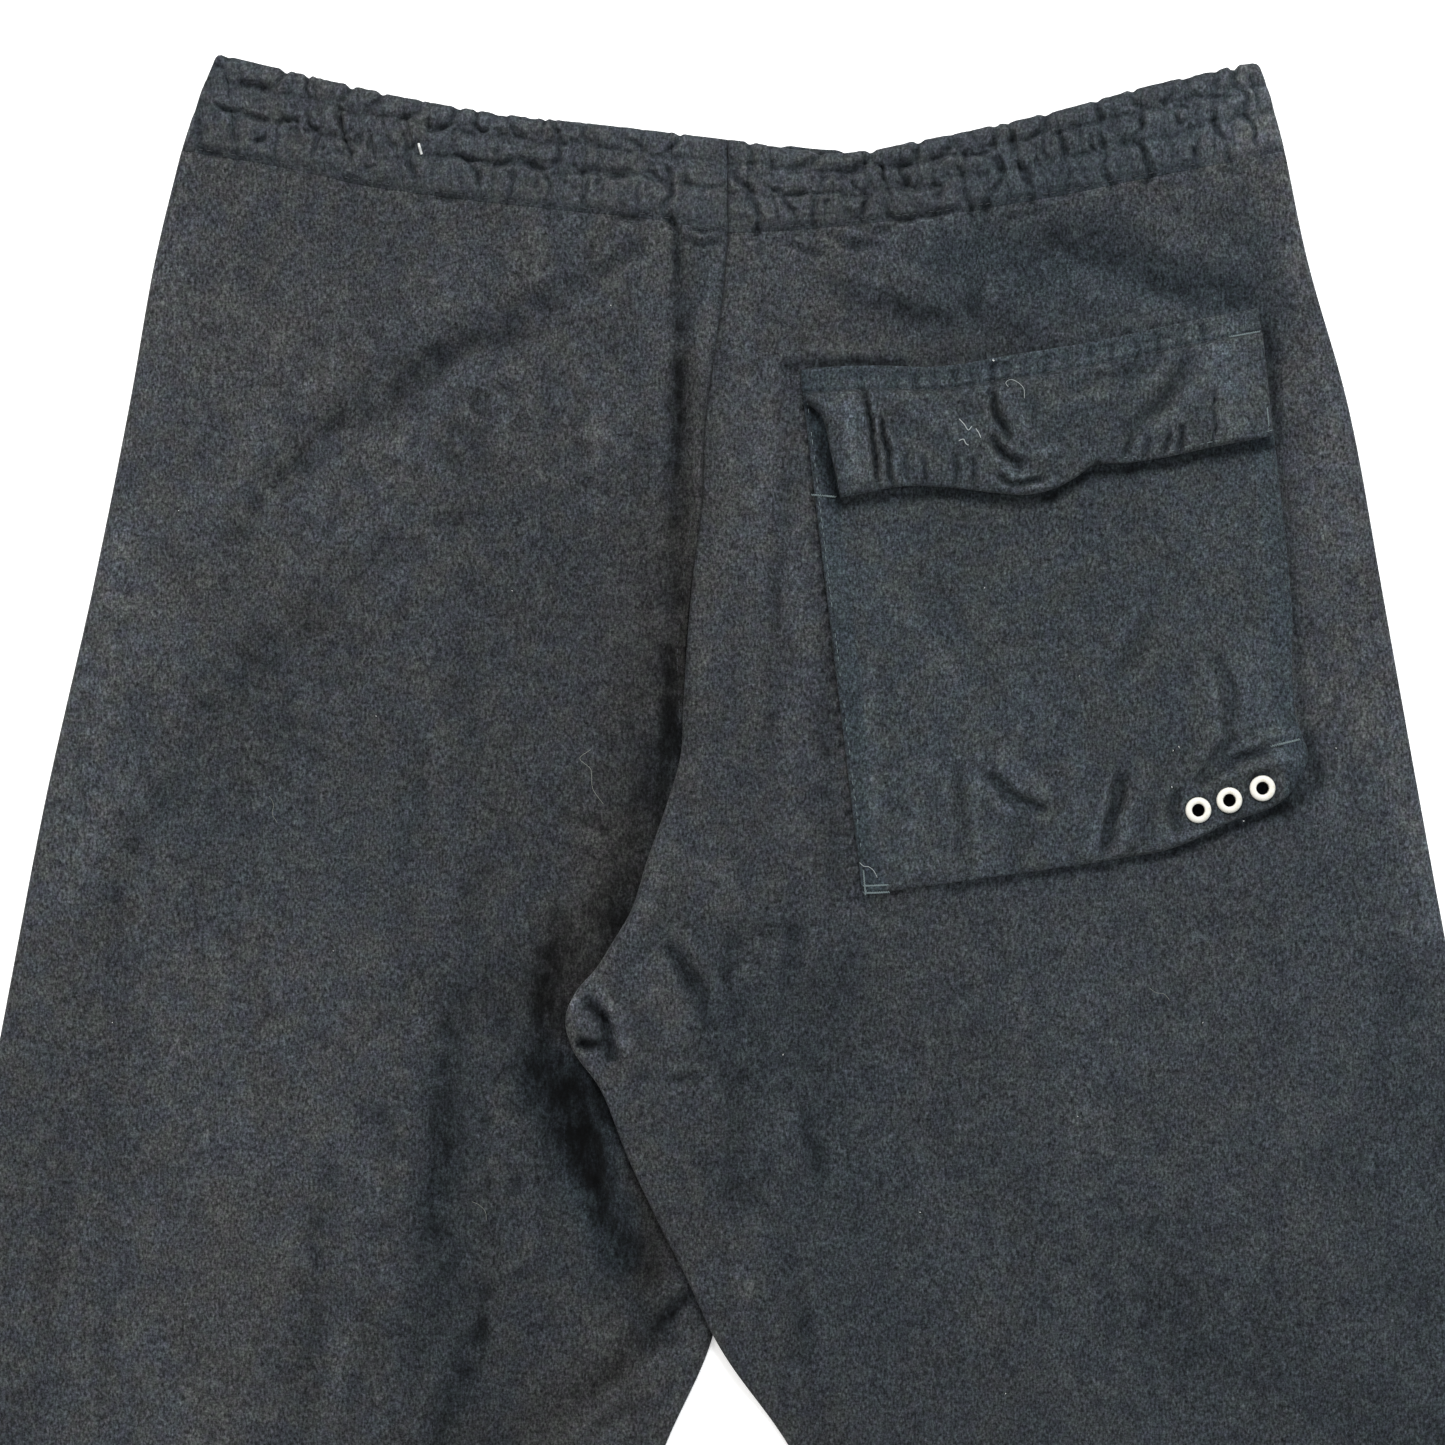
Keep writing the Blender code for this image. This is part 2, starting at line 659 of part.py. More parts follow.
def make_casing_back(panel, waist, top_edge, puffs):
    """Half of the gathered back casing: gathers in its outer side, over a plain inside."""
    on_left = panel == "left"
    waist = moved(parted(waist, panel), down=-SEAM_GAP / 2)
    top_edge = parted(top_edge, panel)
    near = [0.0] + [distance / CASING_LENGTH for distance in EDGE_STATIONS]
    even = np.linspace(near[-1], 1, CASING_COLUMNS + 1)[1:]
    shares = np.array(near + even.tolist())
    shares = shares if on_left else 1 - shares[::-1]

    def across_casing(share, height_share):
        lower, upper = curve_through(waist, share), curve_through(top_edge, share)
        return lower + (upper - lower) * height_share

    rings = []
    for share in shares:
        from_side = (share if on_left else 1 - share) * CASING_LENGTH
        from_centre = CASING_LENGTH - from_side
        gathered = smooth_step(*FLAT_PATCH, from_centre) if on_left else 1.0
        gathered = gathered * smooth_step(*CENTRE_SEAM_FLAT, from_centre)
        ring = []
        for height_share, height, puff, kind in CASING_ROWS:
            full = height + puff * gathered * puff_height(kind, share, puffs)
            outer = rolled(CASING_REST + full, EDGE_FOOT, from_side)
            ring.append(in_metres(across_casing(share, height_share)[None], outer)[0])
        inside = share
        if from_side < EDGE_ROLL:
            inner_distance = CASING_WALL + from_side * (EDGE_ROLL - CASING_WALL) / EDGE_ROLL
            inner_share = inner_distance / CASING_LENGTH
            inside = inner_share if on_left else 1 - inner_share
        under = rolled(CASING_REST, CASING_END_FOOT, from_side)
        for height_share in (1.0, 0.0):
            ring.append(in_metres(across_casing(inside, height_share)[None], under)[0])
        rings.append(np.array(ring))
    thing = loft_object("casing_back_" + panel, rings)
    finish(thing, "wool_casing")


def make_casing_front(panel, waist, top_edge):
    """Half of the front casing, flat on the surface under the back one."""
    on_left = panel == "left"
    waist = np.array(moved(parted(waist, panel), down=-SEAM_GAP / 2))
    top_edge = np.array(parted(top_edge, panel))
    end, inwards = (0, CASING_FRONT_INSET) if on_left else (-1, -CASING_FRONT_INSET)
    for edge in (waist, top_edge):
        edge[end, 0] += inwards

    def place(u, v):
        lower, upper = curve_through(waist, u), curve_through(top_edge, u)
        peek = smooth_step(*FRONT_PEEK_ACROSS[:2], upper[:, 0])
        peek = peek * (1 - smooth_step(*FRONT_PEEK_ACROSS[2:], upper[:, 0]))
        upper[:, 1] += FRONT_TOP_DROP - FRONT_PEEK * peek
        return upper + (lower - upper) * v[:, None], CASING_FRONT_WALL

    columns = np.linspace(0, 1, FRONT_CASING_COLUMNS + 1)
    rows = np.linspace(0, 1, FRONT_CASING_ROWS + 1)
    thing = grid_object("casing_front_" + panel, columns, rows, place)
    add_wall(thing, CASING_FRONT_WALL)
    finish(thing, "wool_casing")


def patch_piece(name, edges, u_stations, v_stations, under_height, relief):
    """A piece sewn on the back: a plain inside that lies on the cloth below, and an outer side with
    the piece's own folds. Its outer edges are a little thinner, as pressed edges are."""
    top, bottom, left, right = edges
    width = np.linalg.norm(np.array(top[-1]) - np.array(top[0]))
    depth = np.linalg.norm(np.array(left[-1]) - np.array(left[0]))
    outer, inner = [], []
    for v in v_stations:
        u = np.array(u_stations)
        points = patch(top, bottom, left, right, u, np.full(len(u), v))
        edge = np.minimum(np.minimum(u, 1 - u) * width, min(v, 1 - v) * depth)
        under = under_height(points)
        full = smooth_step(0.0, PIECE_EDGE, edge)
        wall = CLOTH * (PIECE_EDGE_SHARE + (1 - PIECE_EDGE_SHARE) * full)
        outer.append(in_metres(points, under + wall + relief(points) * full))
        inner.append(in_metres(points, under))
    thing = two_sided_object(name, np.array(outer), np.array(inner))
    finish(thing, "pocket_flannel")
    return thing


def stations(width, edge_distance, cells):
    near = edge_distance / width
    return [0.0] + np.linspace(near, 1 - near, cells + 1).tolist() + [1.0]


POCKET_UNDER = BACK_REST + CLOTH + LAYER_GAP


def pocket_relief(points):
    """Folds of the pocket, which lies smooth under its flap and round its eyelets."""
    below_flap = points[:, 1] - np.interp(points[:, 0], *np.array(FLAP_BOTTOM).T)
    relief = np.maximum(fold_relief(points, POCKET_FOLDS), -POCKET_EASE)
    for centre in EYELETS:
        away = np.linalg.norm(points - np.array(centre), axis=1)
        relief *= smooth_step(*EYELET_FLAT, away)
    return (POCKET_EASE + relief) * smooth_step(*BELOW_FLAP, below_flap)


def pocket_under(points):
    return np.full(len(points), POCKET_UNDER)


def make_pocket():
    edges = (POCKET_TOP, POCKET_BOTTOM, POCKET_LEFT, POCKET_RIGHT)
    u_stations = stations(POCKET_WIDTH, PIECE_EDGE, POCKET_CELLS)
    v_stations = stations(POCKET_DEPTH, PIECE_EDGE, POCKET_CELLS)
    pocket = patch_piece("back_pocket", edges, u_stations, v_stations, pocket_under, pocket_relief)
    for number, centre in enumerate(EYELETS, 1):
        hole = make_hole_cutter(f"eyelet_hole_{number}", centre)
        cut = pocket.modifiers.new(hole.name, "BOOLEAN")
        cut.operation = "DIFFERENCE"
        cut.object = hole


def make_hole_cutter(name, centre):
    cutter = bmesh.new()
    radius, depth = HOLE_RADIUS * MM, HOLE_DEPTH * MM
    bmesh.ops.create_cone(
        cutter, cap_ends=True, segments=HOLE_SIDES, radius1=radius, radius2=radius, depth=depth
    )
    mesh = bpy.data.meshes.new(name)
    cutter.to_mesh(mesh)
    cutter.free()
    thing = add_object(name, mesh, "cutters")
    thing.location = in_metres(np.array([centre]), POCKET_UNDER)[0]
    thing.hide_render = True
    thing.display_type = "WIRE"
    return thing


def make_flap():
    """The flap lies on the back above the pocket, and steps up over the pocket's top edge."""
    edges = (FLAP_TOP, FLAP_BOTTOM, FLAP_LEFT, FLAP_RIGHT)
    step_up = CLOTH + LAYER_GAP

    def from_top(points):
        return points[:, 1] - np.interp(points[:, 0], *np.array(FLAP_TOP).T)

    def under(points):
        over_pocket = smooth_step(*FLAP_STEP, from_top(points))
        return POCKET_UNDER + step_up * over_pocket

    def relief(points):
        folds = np.maximum(fold_relief(points, FLAP_FOLDS), -FLAP_EASE)
        return (FLAP_EASE + folds) * smooth_step(*FLAP_FOLDS_START, from_top(points))

    u_stations = stations(FLAP_WIDTH, PIECE_EDGE, FLAP_COLUMNS)
    patch_piece("pocket_flap", edges, u_stations, FLAP_ROWS, under, relief)


def make_eyelet(number, centre):
    """A turned ring whose barrel passes through the pocket."""
    profile = bmesh.new()
    corners = [profile.verts.new((radius * MM, 0, height * MM)) for radius, height in EYELET_SECTION]
    for corner, following in zip(corners, corners[1:] + corners[:1]):
        profile.edges.new((corner, following))
    mesh = bpy.data.meshes.new(f"eyelet_{number}")
    profile.to_mesh(mesh)
    profile.free()
    thing = add_object(f"eyelet_{number}", mesh)
    thing.location = in_metres(np.array([centre]), POCKET_UNDER + CLOTH + POCKET_EASE)[0]
    turn = thing.modifiers.new("turned", "SCREW")
    turn.steps = turn.render_steps = EYELET_STEPS
    turn.use_merge_vertices = True
    turn.merge_threshold = 0.00001
    turn.use_smooth_shade = True
    thing.data.materials.append(bpy.data.materials["eyelet_enamel"])


def clear_scene():
    for thing in list(bpy.data.objects):
        bpy.data.objects.remove(thing, do_unlink=True)
    for name in ("wool_trousers", "cutters"):
        bpy.context.scene.collection.children.link(bpy.data.collections.new(name))


def make_finishes():
    for name, (colour, roughness, metallic) in FINISHES.items():
        material = bpy.data.materials.new(name)
        material.use_nodes = True
        shader = material.node_tree.nodes["Principled BSDF"]
        shader.inputs["Base Color"].default_value = (*colour, 1.0)
        shader.inputs["Roughness"].default_value = roughness
        shader.inputs["Metallic"].default_value = metallic


def main():
    clear_scene()
    make_finishes()
    make_front("left", WAIST_SEAM_LEFT, SIDE_LEFT, FRONT_LEFT_EDGE)
    make_front("right", WAIST_SEAM_RIGHT, SIDE_RIGHT, FRONT_RIGHT_EDGE)
    make_back("left", WAIST_SEAM_LEFT, SIDE_LEFT, BACK_LEFT_EDGE, LEFT_INNER_ROLLS)
    make_back("right", WAIST_SEAM_RIGHT, SIDE_RIGHT, BACK_RIGHT_EDGE, RIGHT_INNER_ROLLS)
    make_casing_front("left", WAIST_SEAM_LEFT, WAIST_TOP_LEFT)
    make_casing_front("right", WAIST_SEAM_RIGHT, WAIST_TOP_RIGHT)
    make_casing_back("left", WAIST_SEAM_LEFT, WAIST_TOP_LEFT, PUFFS_LEFT)
    make_casing_back("right", WAIST_SEAM_RIGHT, WAIST_TOP_RIGHT, PUFFS_RIGHT)
    make_pocket()
    make_flap()
    for number, centre in enumerate(EYELETS, 1):
        make_eyelet(number, centre)


main()
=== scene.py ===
"""Wool trousers laid flat, back upwards and waist at the top: the cloth, sewing and trims.

Sizes are in millimetres. A place on the cloth is (across, down) from the centre-back waist, plus across
being towards the wearer's right leg, and heights are above the surface that the trousers lie on.
"""

from collections import namedtuple

import bmesh
import bpy
import numpy as np
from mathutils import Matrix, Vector

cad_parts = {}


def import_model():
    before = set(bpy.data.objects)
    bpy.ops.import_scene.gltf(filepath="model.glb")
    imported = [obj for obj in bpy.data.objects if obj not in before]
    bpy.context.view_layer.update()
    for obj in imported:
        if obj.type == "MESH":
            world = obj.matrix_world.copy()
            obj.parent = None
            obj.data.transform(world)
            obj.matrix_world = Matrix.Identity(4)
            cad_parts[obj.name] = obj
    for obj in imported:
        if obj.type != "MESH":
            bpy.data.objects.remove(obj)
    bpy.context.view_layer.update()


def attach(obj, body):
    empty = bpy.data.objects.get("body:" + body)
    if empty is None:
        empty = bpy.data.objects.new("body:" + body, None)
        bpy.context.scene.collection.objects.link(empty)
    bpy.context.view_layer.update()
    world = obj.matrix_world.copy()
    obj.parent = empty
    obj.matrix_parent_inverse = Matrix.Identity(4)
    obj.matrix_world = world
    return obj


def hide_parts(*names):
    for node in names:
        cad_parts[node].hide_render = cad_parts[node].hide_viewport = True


MM = 0.001

# What the photograph takes in: its side, and its centre as across, down
VIEW_SIDE = 541.9
VIEW_CENTRE = (-2.1, 218.4)
LENS = 85.0
SENSOR = 36.0

# The studio, in metres: half the floor's side, how far it lies under the cloth in millimetres, what
# the lamps are aimed at, and how bright the room is
FLOOR_REACH = 4.0
FLOOR_BELOW = 0.05
LIT_SPOT = (0.0, 0.25, 0.0)
ROOM_LIGHT = 0.66
Lamp = namedtuple("Lamp", "name place size power colour")
LIGHTS = (
    Lamp("key_light", (0.3, 2.3, 1.8), 1.0, 70, (1.0, 1.0, 1.0)),
    Lamp("left_fill", (-2.0, 0.4, 1.9), 1.4, 21, (1.0, 0.965, 0.89)),
    Lamp("right_fill", (2.0, 0.4, 1.9), 1.4, 18.5, (0.76, 0.915, 1.0)),
)

# Mean colours of the wool, and of the enamel where it is clean and where it has yellowed
CHARCOAL = (0.0284, 0.0306, 0.0344)
PRESSED_CHARCOAL = (0.0252, 0.0292, 0.0334)
CREAM = (0.66, 0.64, 0.58)
YELLOWED = (0.50, 0.43, 0.27)
# The wool's fibres, as shares of its mean colour
COOL = (0.955, 0.995, 1.055)
WARM = (1.045, 1.01, 0.93)
BLUED = (0.86, 1.025, 1.11)
BROWNED = (1.09, 1.0, 0.88)
HEATHER = (1.03, 0.965, 1.03)
MOSS = (0.97, 1.035, 0.95)
PALE = (3.2, 3.2, 3.2)
NAP_RISE = 0.3
# Threads and lint: name, colour
YARNS = {
    "sewing_thread": ("charcoal thread", (0.022, 0.025, 0.030)),
    "tack_thread": ("grey-green thread", (0.095, 0.125, 0.130)),
    "lint_white": ("white lint", (0.52, 0.53, 0.52)),
    "lint_pale": ("pale lint", (0.28, 0.31, 0.31)),
    "lint_dull": ("dull lint", (0.17, 0.18, 0.16)),
}

# Heights of the layers, each at its upper side, and what lies between them
FRONT_REST = 0.12
BACK_TOP = 4.2
PRESSED_TOP = 3.0
LOWEST_BACK = 1.2
LEG_LIFT = 3.0
LIFT_FROM_EDGE = (10.0, 38.0)
POCKET_REST = 4.5
CLOTH = 1.4
GAP = 0.3
FOOT = 0.35

# The waist seam, where the casing meets the panels, and the waist's top edge: across, down
WAIST_SEAM_LEFT = (
    (-205.5, 3.8), (-169, 9.8), (-136.5, 16.9), (-96.4, 22.5), (-63, 26.2), (-27, 29.8), (0, 34.9),
)
WAIST_SEAM_RIGHT = (
    (0, 34.9), (31, 33.2), (63.8, 30), (123, 21), (155, 14.6), (196.9, 6.4), (209.2, 3.8),
)
WAIST_TOP_LEFT = ((-193.1, -33), (-160.5, -25.1), (-123, -16.5), (-85.5, -10.1), (-48, -6), (0, -0.4))
WAIST_TOP_RIGHT = ((0, -0.4), (45.8, 4.5), (73.9, -0.4), (120.8, -10.5), (158.2, -20.6), (200.2, -30))

# Side seams from the waist seam to the hem, and the centre seams: across, down
SIDE_LEFT = (
    (-205.5, 3.8), (-214.5, 41), (-224.6, 97.5), (-239.6, 172.5), (-256.5, 247.5), (-270.8, 322.5),
    (-325.6, 620), (-387.1, 953.4),
)
SIDE_RIGHT = (
    (209.2, 3.8), (216.8, 41), (232.5, 97.5), (246.4, 172.5), (263.2, 266.2), (330, 610),
    (395.9, 946.4),
)
CENTRE_BACK = (
    (0, 34.9), (-2.2, 60), (-6, 86.2), (-8.6, 105), (-9.8, 135), (-13.4, 165), (-15.6, 191.2),
)
CENTRE_FRONT = ((0, 34.9), (-1.8, 150), (-4.4, 240), (-5.3, 258), (-6, 268))

# Inner edges below the centre seams, down to the hem: across, down
BACK_LEFT_INNER = (
    (-14.4, 222), (-16, 256), (-23.6, 296.2), (-23.6, 337.5), (-16.1, 363.8), (-6.8, 397.5),
    (-1.5, 427.5), (-5.6, 448.1), (-23.2, 489), (-70, 630), (-130, 810), (-192.6, 1000.1),
)
BACK_RIGHT_INNER = (
    (-16.8, 214), (-17.6, 230), (-23.2, 250), (-30.6, 271), (-36.8, 290), (-42.8, 300), (-49, 310),
    (-57.4, 320), (-61, 330), (-58.8, 339.5), (-48, 355.5), (-38.6, 378.8), (-27.4, 403.1),
    (-14.2, 429.4), (-5.6, 448.1), (22.1, 489), (82, 610), (142, 780), (202.9, 998.4),
)
FRONT_LEFT_CROTCH = ((-9.5, 290), (-14.5, 317), (-18, 345), (-15.5, 372))
FRONT_RIGHT_CROTCH = ((-8.5, 284), (-18, 302), (-34, 315.5), (-50, 325.5))
# Each front's inner edge follows this many of its back's last rows, this far inside it
FOLLOWING_ROWS_LEFT = 7
FOLLOWING_ROWS_RIGHT = 9
FRONT_INNER_INSET = 4.6
FRONT_SIDE_INSET = 3.8
# The middle of the whole outline, which stands at the frame's origin
ORIGIN_ACROSS = (SIDE_LEFT[-1][0] + SIDE_RIGHT[-1][0]) / 2
ORIGIN_DOWN = (WAIST_TOP_LEFT[0][1] + BACK_LEFT_INNER[-1][1]) / 2
# Edges that run across or down are looked up at this many points
EDGE_STEPS = 300

# How far down the layers change at the crotch: where a change starts, and where it is complete
BACK_LIFTS = (145, 190)
FRONT_LIFTS = (238, 274)
LEFT_PRESSED = (155, 208)
RIGHT_INNER_ROLLS = (172, 240)
LEFT_INNER_ROLLS = (398, 440)
# How far before the right leg's edge the left back rises again
PRESS_RUN = (0, 9)

# How cloth goes over an edge. Columns: distance in from the edge, share of a roll down to the foot,
# drop into a sewn seam. The first rows are turned under
EdgeRow = namedtuple("EdgeRow", "inwards roll seam")
EDGE = (
    EdgeRow(2.6, 1.00, 1.9),
    EdgeRow(1.1, 0.97, 1.8),
    EdgeRow(0.3, 0.82, 1.5),
    EdgeRow(0.0, 0.62, 1.1),
    EdgeRow(0.25, 0.42, 0.75),
    EdgeRow(0.8, 0.24, 0.40),
    EdgeRow(1.7, 0.12, 0.14),
    EdgeRow(3.2, 0.04, 0.03),
    EdgeRow(5.6, 0.0, 0.0),
)
PRESSED_EDGE = tuple(
    EdgeRow(inwards, roll, 0.0)
    for inwards, roll in (
        (1.6, 1.0), (0.5, 0.94), (0.05, 0.7), (0.0, 0.5), (0.2, 0.3), (0.6, 0.14), (1.3, 0.04), (2.2, 0.0),
    )
)
# What an edge does to each column of a piece: its roll, its drop into a seam
Turn = namedtuple("Turn", "roll seam")
# How a hem or a waist edge is turned. Columns: distance in from the edge, drop. The last are under
TURNED = (
    (5.0, 0.0), (2.6, 0.1), (1.2, 0.3), (0.4, 0.65), (0.0, 1.1), (0.3, 1.6), (1.2, 1.9), (4.0, 2.0),
)
# Where a panel meets the casing: distance in from the seam, drop. The first is turned under
WAIST_TUCK = ((0.0, 1.2), (0.0, 0.7), (0.5, 0.6), (1.1, 0.4), (2.0, 0.2), (3.6, 0.04))
HEM_DEPTH = 28.0
LOWEST_AT_HEM = 0.6
# Painted shade in a seam: the cloth that dips this deep into it is darkened by this share
SEAM_DEPTH = 1.1
SEAM_DARKENING = 0.45

# The panels' sizes, and the cells of their cloth: down, across. Below the seat the rows lie wider apart
PANEL_LENGTH = 960.0
PANEL_WIDTH = 230.0
SEAT_LENGTH = 480.0
PANEL_CELL = (1.25, 1.4)
LEG_STEP = 4.6
FRONT_CELL = (5.0, 5.0)
FRONT_LEG_STEP = 6.0
# How far a front panel rises where its edges roll and its hem is turned
FRONT_EDGE_RISE = 1.1
FRONT_HEM_RISE = 0.5

# Folds that the cloth has fallen into. Each is a crest, or a trough where its height is negative, on
# a curve through three points. Columns: start, middle, end, half width, height
Fold = namedtuple("Fold", "start middle end half_width height")
LEFT_FOLDS = (
    Fold((-30, 40), (-52, 53), (-76, 60), 3.6, -1.9),
    Fold((-62, 58), (-98, 76), (-134, 98), 8.0, -3.0),
    Fold((-92, 72), (-112, 90), (-146, 108), 7.0, -1.2),
    Fold((-120, 92), (-154, 110), (-192, 158), 7.5, -2.8),
    Fold((-46, 74), (-112, 116), (-165, 160), 15.0, 2.2),
    Fold((-60, 36), (-125, 62), (-185, 108), 14.0, 1.2),
    Fold((-28, 92), (-50, 112), (-88, 124), 14.0, 1.5),
    Fold((-78, 134), (-112, 149), (-150, 165), 7.0, -1.6),
    Fold((-140, 158), (-172, 192), (-198, 214), 9.0, -1.9),
    Fold((-188, 202), (-212, 242), (-238, 304), 7.0, -1.5),
    Fold((-120, 180), (-160, 222), (-200, 290), 16.0, 1.3),
    Fold((-228, 140), (-234, 190), (-252, 250), 13.0, 1.6),
    Fold((-97, 178), (-101, 206), (-95, 238), 6.0, -1.3),
    Fold((-118, 214), (-119, 248), (-125, 278), 5.0, -1.1),
    Fold((-95, 262), (-97, 284), (-94, 304), 8.0, -1.3),
    Fold((-16.5, 40), (-18, 100), (-18, 168), 4.6, -2.8),
    Fold((-17.5, 160), (-19, 200), (-24, 244), 4.6, -4.0),
    Fold((-30, 128), (-28, 178), (-38, 232), 13.0, -1.3),
    Fold((-40, 84), (-46, 112), (-58, 150), 11.0, 1.4),
    Fold((-46, 232), (-52, 268), (-60, 300), 14.0, -1.8),
    Fold((-56, 282), (-70, 322), (-62, 352), 10.0, -2.4),
    Fold((-62, 350), (-50, 384), (-40, 426), 4.5, -3.2),
    Fold((-49, 362), (-38, 392), (-31, 420), 4.5, 1.6),
    Fold((-102, 316), (-107, 352), (-105, 402), 6.5, -2.8),
    Fold((-108, 380), (-111, 408), (-108, 430), 6.0, -1.6),
    Fold((-91, 424), (-98, 462), (-110, 500), 5.4, -1.9),
    Fold((-97, 438), (-92, 446), (-96, 456), 3.0, -1.2),
    Fold((-88, 330), (-84, 372), (-76, 424), 9.0, 2.2),
    Fold((-126, 324), (-128, 380), (-130, 450), 10.0, 1.6),
    Fold((-149, 384), (-154, 420), (-162, 490), 5.0, -1.4),
    Fold((-140, 420), (-148, 450), (-150, 500), 7.0, 1.1),
    Fold((-234, 340), (-232, 400), (-236, 480), 6.0, -0.8),
    Fold((-248, 360), (-250, 400), (-258, 460), 5.0, -0.7),
    Fold((-196, 290), (-200, 350), (-206, 430), 16.0, 0.9),
    Fold((-7, 425), (-16, 435), (-28, 446), 2.2, -5.4),
    Fold((-20, 440), (-38, 458), (-58, 478), 6.0, -1.4),
    Fold((-12, 448), (-36, 466), (-64, 492), 4.5, 1.9),
    Fold((-20, 476), (-38, 477), (-62, 492), 3.0, -1.4),
    Fold((-120, 560), (-170, 690), (-240, 850), 12.0, -1.6),
    Fold((-200, 480), (-240, 640), (-290, 820), 18.0, 1.8),
    Fold((-110, 640), (-160, 780), (-210, 930), 14.0, 1.6),
    Fold((-70, 560), (-100, 640), (-140, 740), 10.0, -1.4),
    Fold((-250, 540), (-280, 680), (-330, 860), 10.0, -1.1),
)
RIGHT_FOLDS = (
    Fold((114, 36), (146, 43), (168, 55), 6.5, -2.2),
    Fold((146, 46), (168, 55), (198, 60), 6.5, -2.0),
    Fold((134, 52), (150, 60), (172, 66), 6.0, 1.2),
    Fold((150, 30), (178, 40), (206, 46), 7.0, 1.4),
    Fold((34, 50), (50, 60), (70, 68), 4.0, -1.8),
    Fold((58, 64), (76, 69), (94, 64), 5.4, -2.4),
    Fold((92, 70), (94, 60), (91, 50), 3.6, -1.8),
    Fold((98, 60), (106, 68), (118, 74), 5.0, -1.2),
    Fold((20, 41), (40, 50), (62, 56), 2.6, 1.1),
    Fold((44, 42), (66, 50), (86, 52), 5.0, 1.2),
    Fold((102, 32), (118, 34), (132, 38), 5.0, -1.0),
    Fold((21, 90), (21, 150), (15, 236), 3.8, -1.1),
    Fold((8, 48), (8, 120), (4, 190), 8.0, 1.2),
    Fold((27, 150), (27, 200), (24, 240), 4.0, 0.9),
    Fold((38, 180), (38, 230), (38, 292), 5.0, -1.6),
    Fold((-14, 260), (-2, 280), (14, 296), 9.0, 1.3),
    Fold((-22, 300), (-13, 316), (-8, 334), 2.8, -4.4),
    Fold((-8, 338), (2, 350), (14, 350), 5.0, -1.2),
    Fold((2, 296), (2, 306), (-4, 316), 3.2, -1.6),
    Fold((12, 299), (24, 298), (34, 296), 4.2, -1.3),
    Fold((26, 296), (25, 306), (23, 318), 3.6, -2.4),
    Fold((-40, 352), (-26, 355), (-8, 352), 2.4, -1.5),
    Fold((0, 352), (4, 376), (4, 402), 5.0, -1.0),
    Fold((26, 360), (33, 375), (36, 396), 3.0, -1.5),
    Fold((36, 396), (43, 402), (48, 412), 5.0, -0.9),
    Fold((20, 430), (28, 440), (27, 458), 4.4, -1.7),
    Fold((18, 322), (22, 356), (16, 400), 5.0, 1.3),
    Fold((10, 400), (8, 424), (6, 446), 6.0, 1.3),
    Fold((-36, 316), (-24, 324), (-20, 342), 7.0, 1.7),
    Fold((-34, 362), (-20, 380), (-14, 408), 7.0, 1.2),
    Fold((-22, 262), (-33, 290), (-54, 322), 6.0, 3.0),
    Fold((-58, 320), (-52, 327), (-52, 337), 3.0, 4.6),
    Fold((-55, 338), (-51, 340.5), (-47.5, 339), 2.0, -8.5),
    Fold((-50, 320), (-44.5, 331), (-44, 350), 1.7, -6.6),
    Fold((-46, 318), (-40.5, 331), (-40.5, 349), 2.4, 4.0),
    Fold((240, 300), (262, 352), (280, 420), 12.0, -1.2),
    Fold((110, 300), (136, 380), (150, 480), 20.0, 0.9),
    Fold((60, 480), (120, 620), (190, 800), 13.0, -1.6),
    Fold((180, 560), (240, 700), (300, 860), 18.0, 1.8),
    Fold((130, 640), (180, 790), (240, 930), 14.0, 1.5),
    Fold((90, 540), (130, 640), (170, 740), 10.0, 1.2),
    Fold((250, 520), (290, 680), (340, 860), 10.0, -1.2),
)
FOLD_STEPS = 30
FOLD_CALM_AT_SEAM = 9.0
CALM_SEAM_ENDS = 220.0
PANEL_FULLER = 0.8
# Where the cloth stands up beside a trough: distance as a share of its half width, reach, height
SHOULDER = (2.1, 0.9, 0.2)

# Strengths that change from place to place by waves. Columns: the waves as length and height, seed,
# mean, lowest, highest
Uneven = namedtuple("Uneven", "table seed mean lowest highest")
WAVES_OF_A_LENGTH = 8
TUCK_WAVES = ((34.0, 0.55), (12.0, 0.45), (6.0, 0.25))
FOLD_STRENGTH = Uneven(((30.0, 0.36), (11.0, 0.30)), 17, 0.9, 0.3, 1.5)
TUCK_DEPTH = Uneven(TUCK_WAVES, 4, 0.75, 0.15, 1.5)
CHANNEL_DRAW = Uneven(TUCK_WAVES, 6, 0.6, 0.1, 1.3)
# Painted light on the upper leg's rolled edge, whose side lies in shade, here and there, by up to this share
RIM_PATCHES = Uneven(((60.0, 0.5), (20.0, 0.3)), 15, 0.5, 0.0, 1.0)
RIM_PAINTED_LIGHT = 1.3
# Soft waves all over the cloth: length, height
WAVES = ((110, 0.35), (48, 0.20), (21, 0.10), (10, 0.05))

# How far folds, creases and strokes wander off their smooth lines: length, distance
PANEL_WANDER = ((80.0, 2.0), (26.0, 0.5))
CREASE_WANDER = ((13.0, 0.7), (5.0, 0.25))
POCKET_WANDER = ((14.0, 0.4), (5.0, 0.2))
TONE_WANDER = ((44.0, 3.0), (16.0, 1.4), (7.0, 0.8))
WANDER_WAVES = 5
# Strokes narrower than this don't wander
SHARP_TONE = 10.0
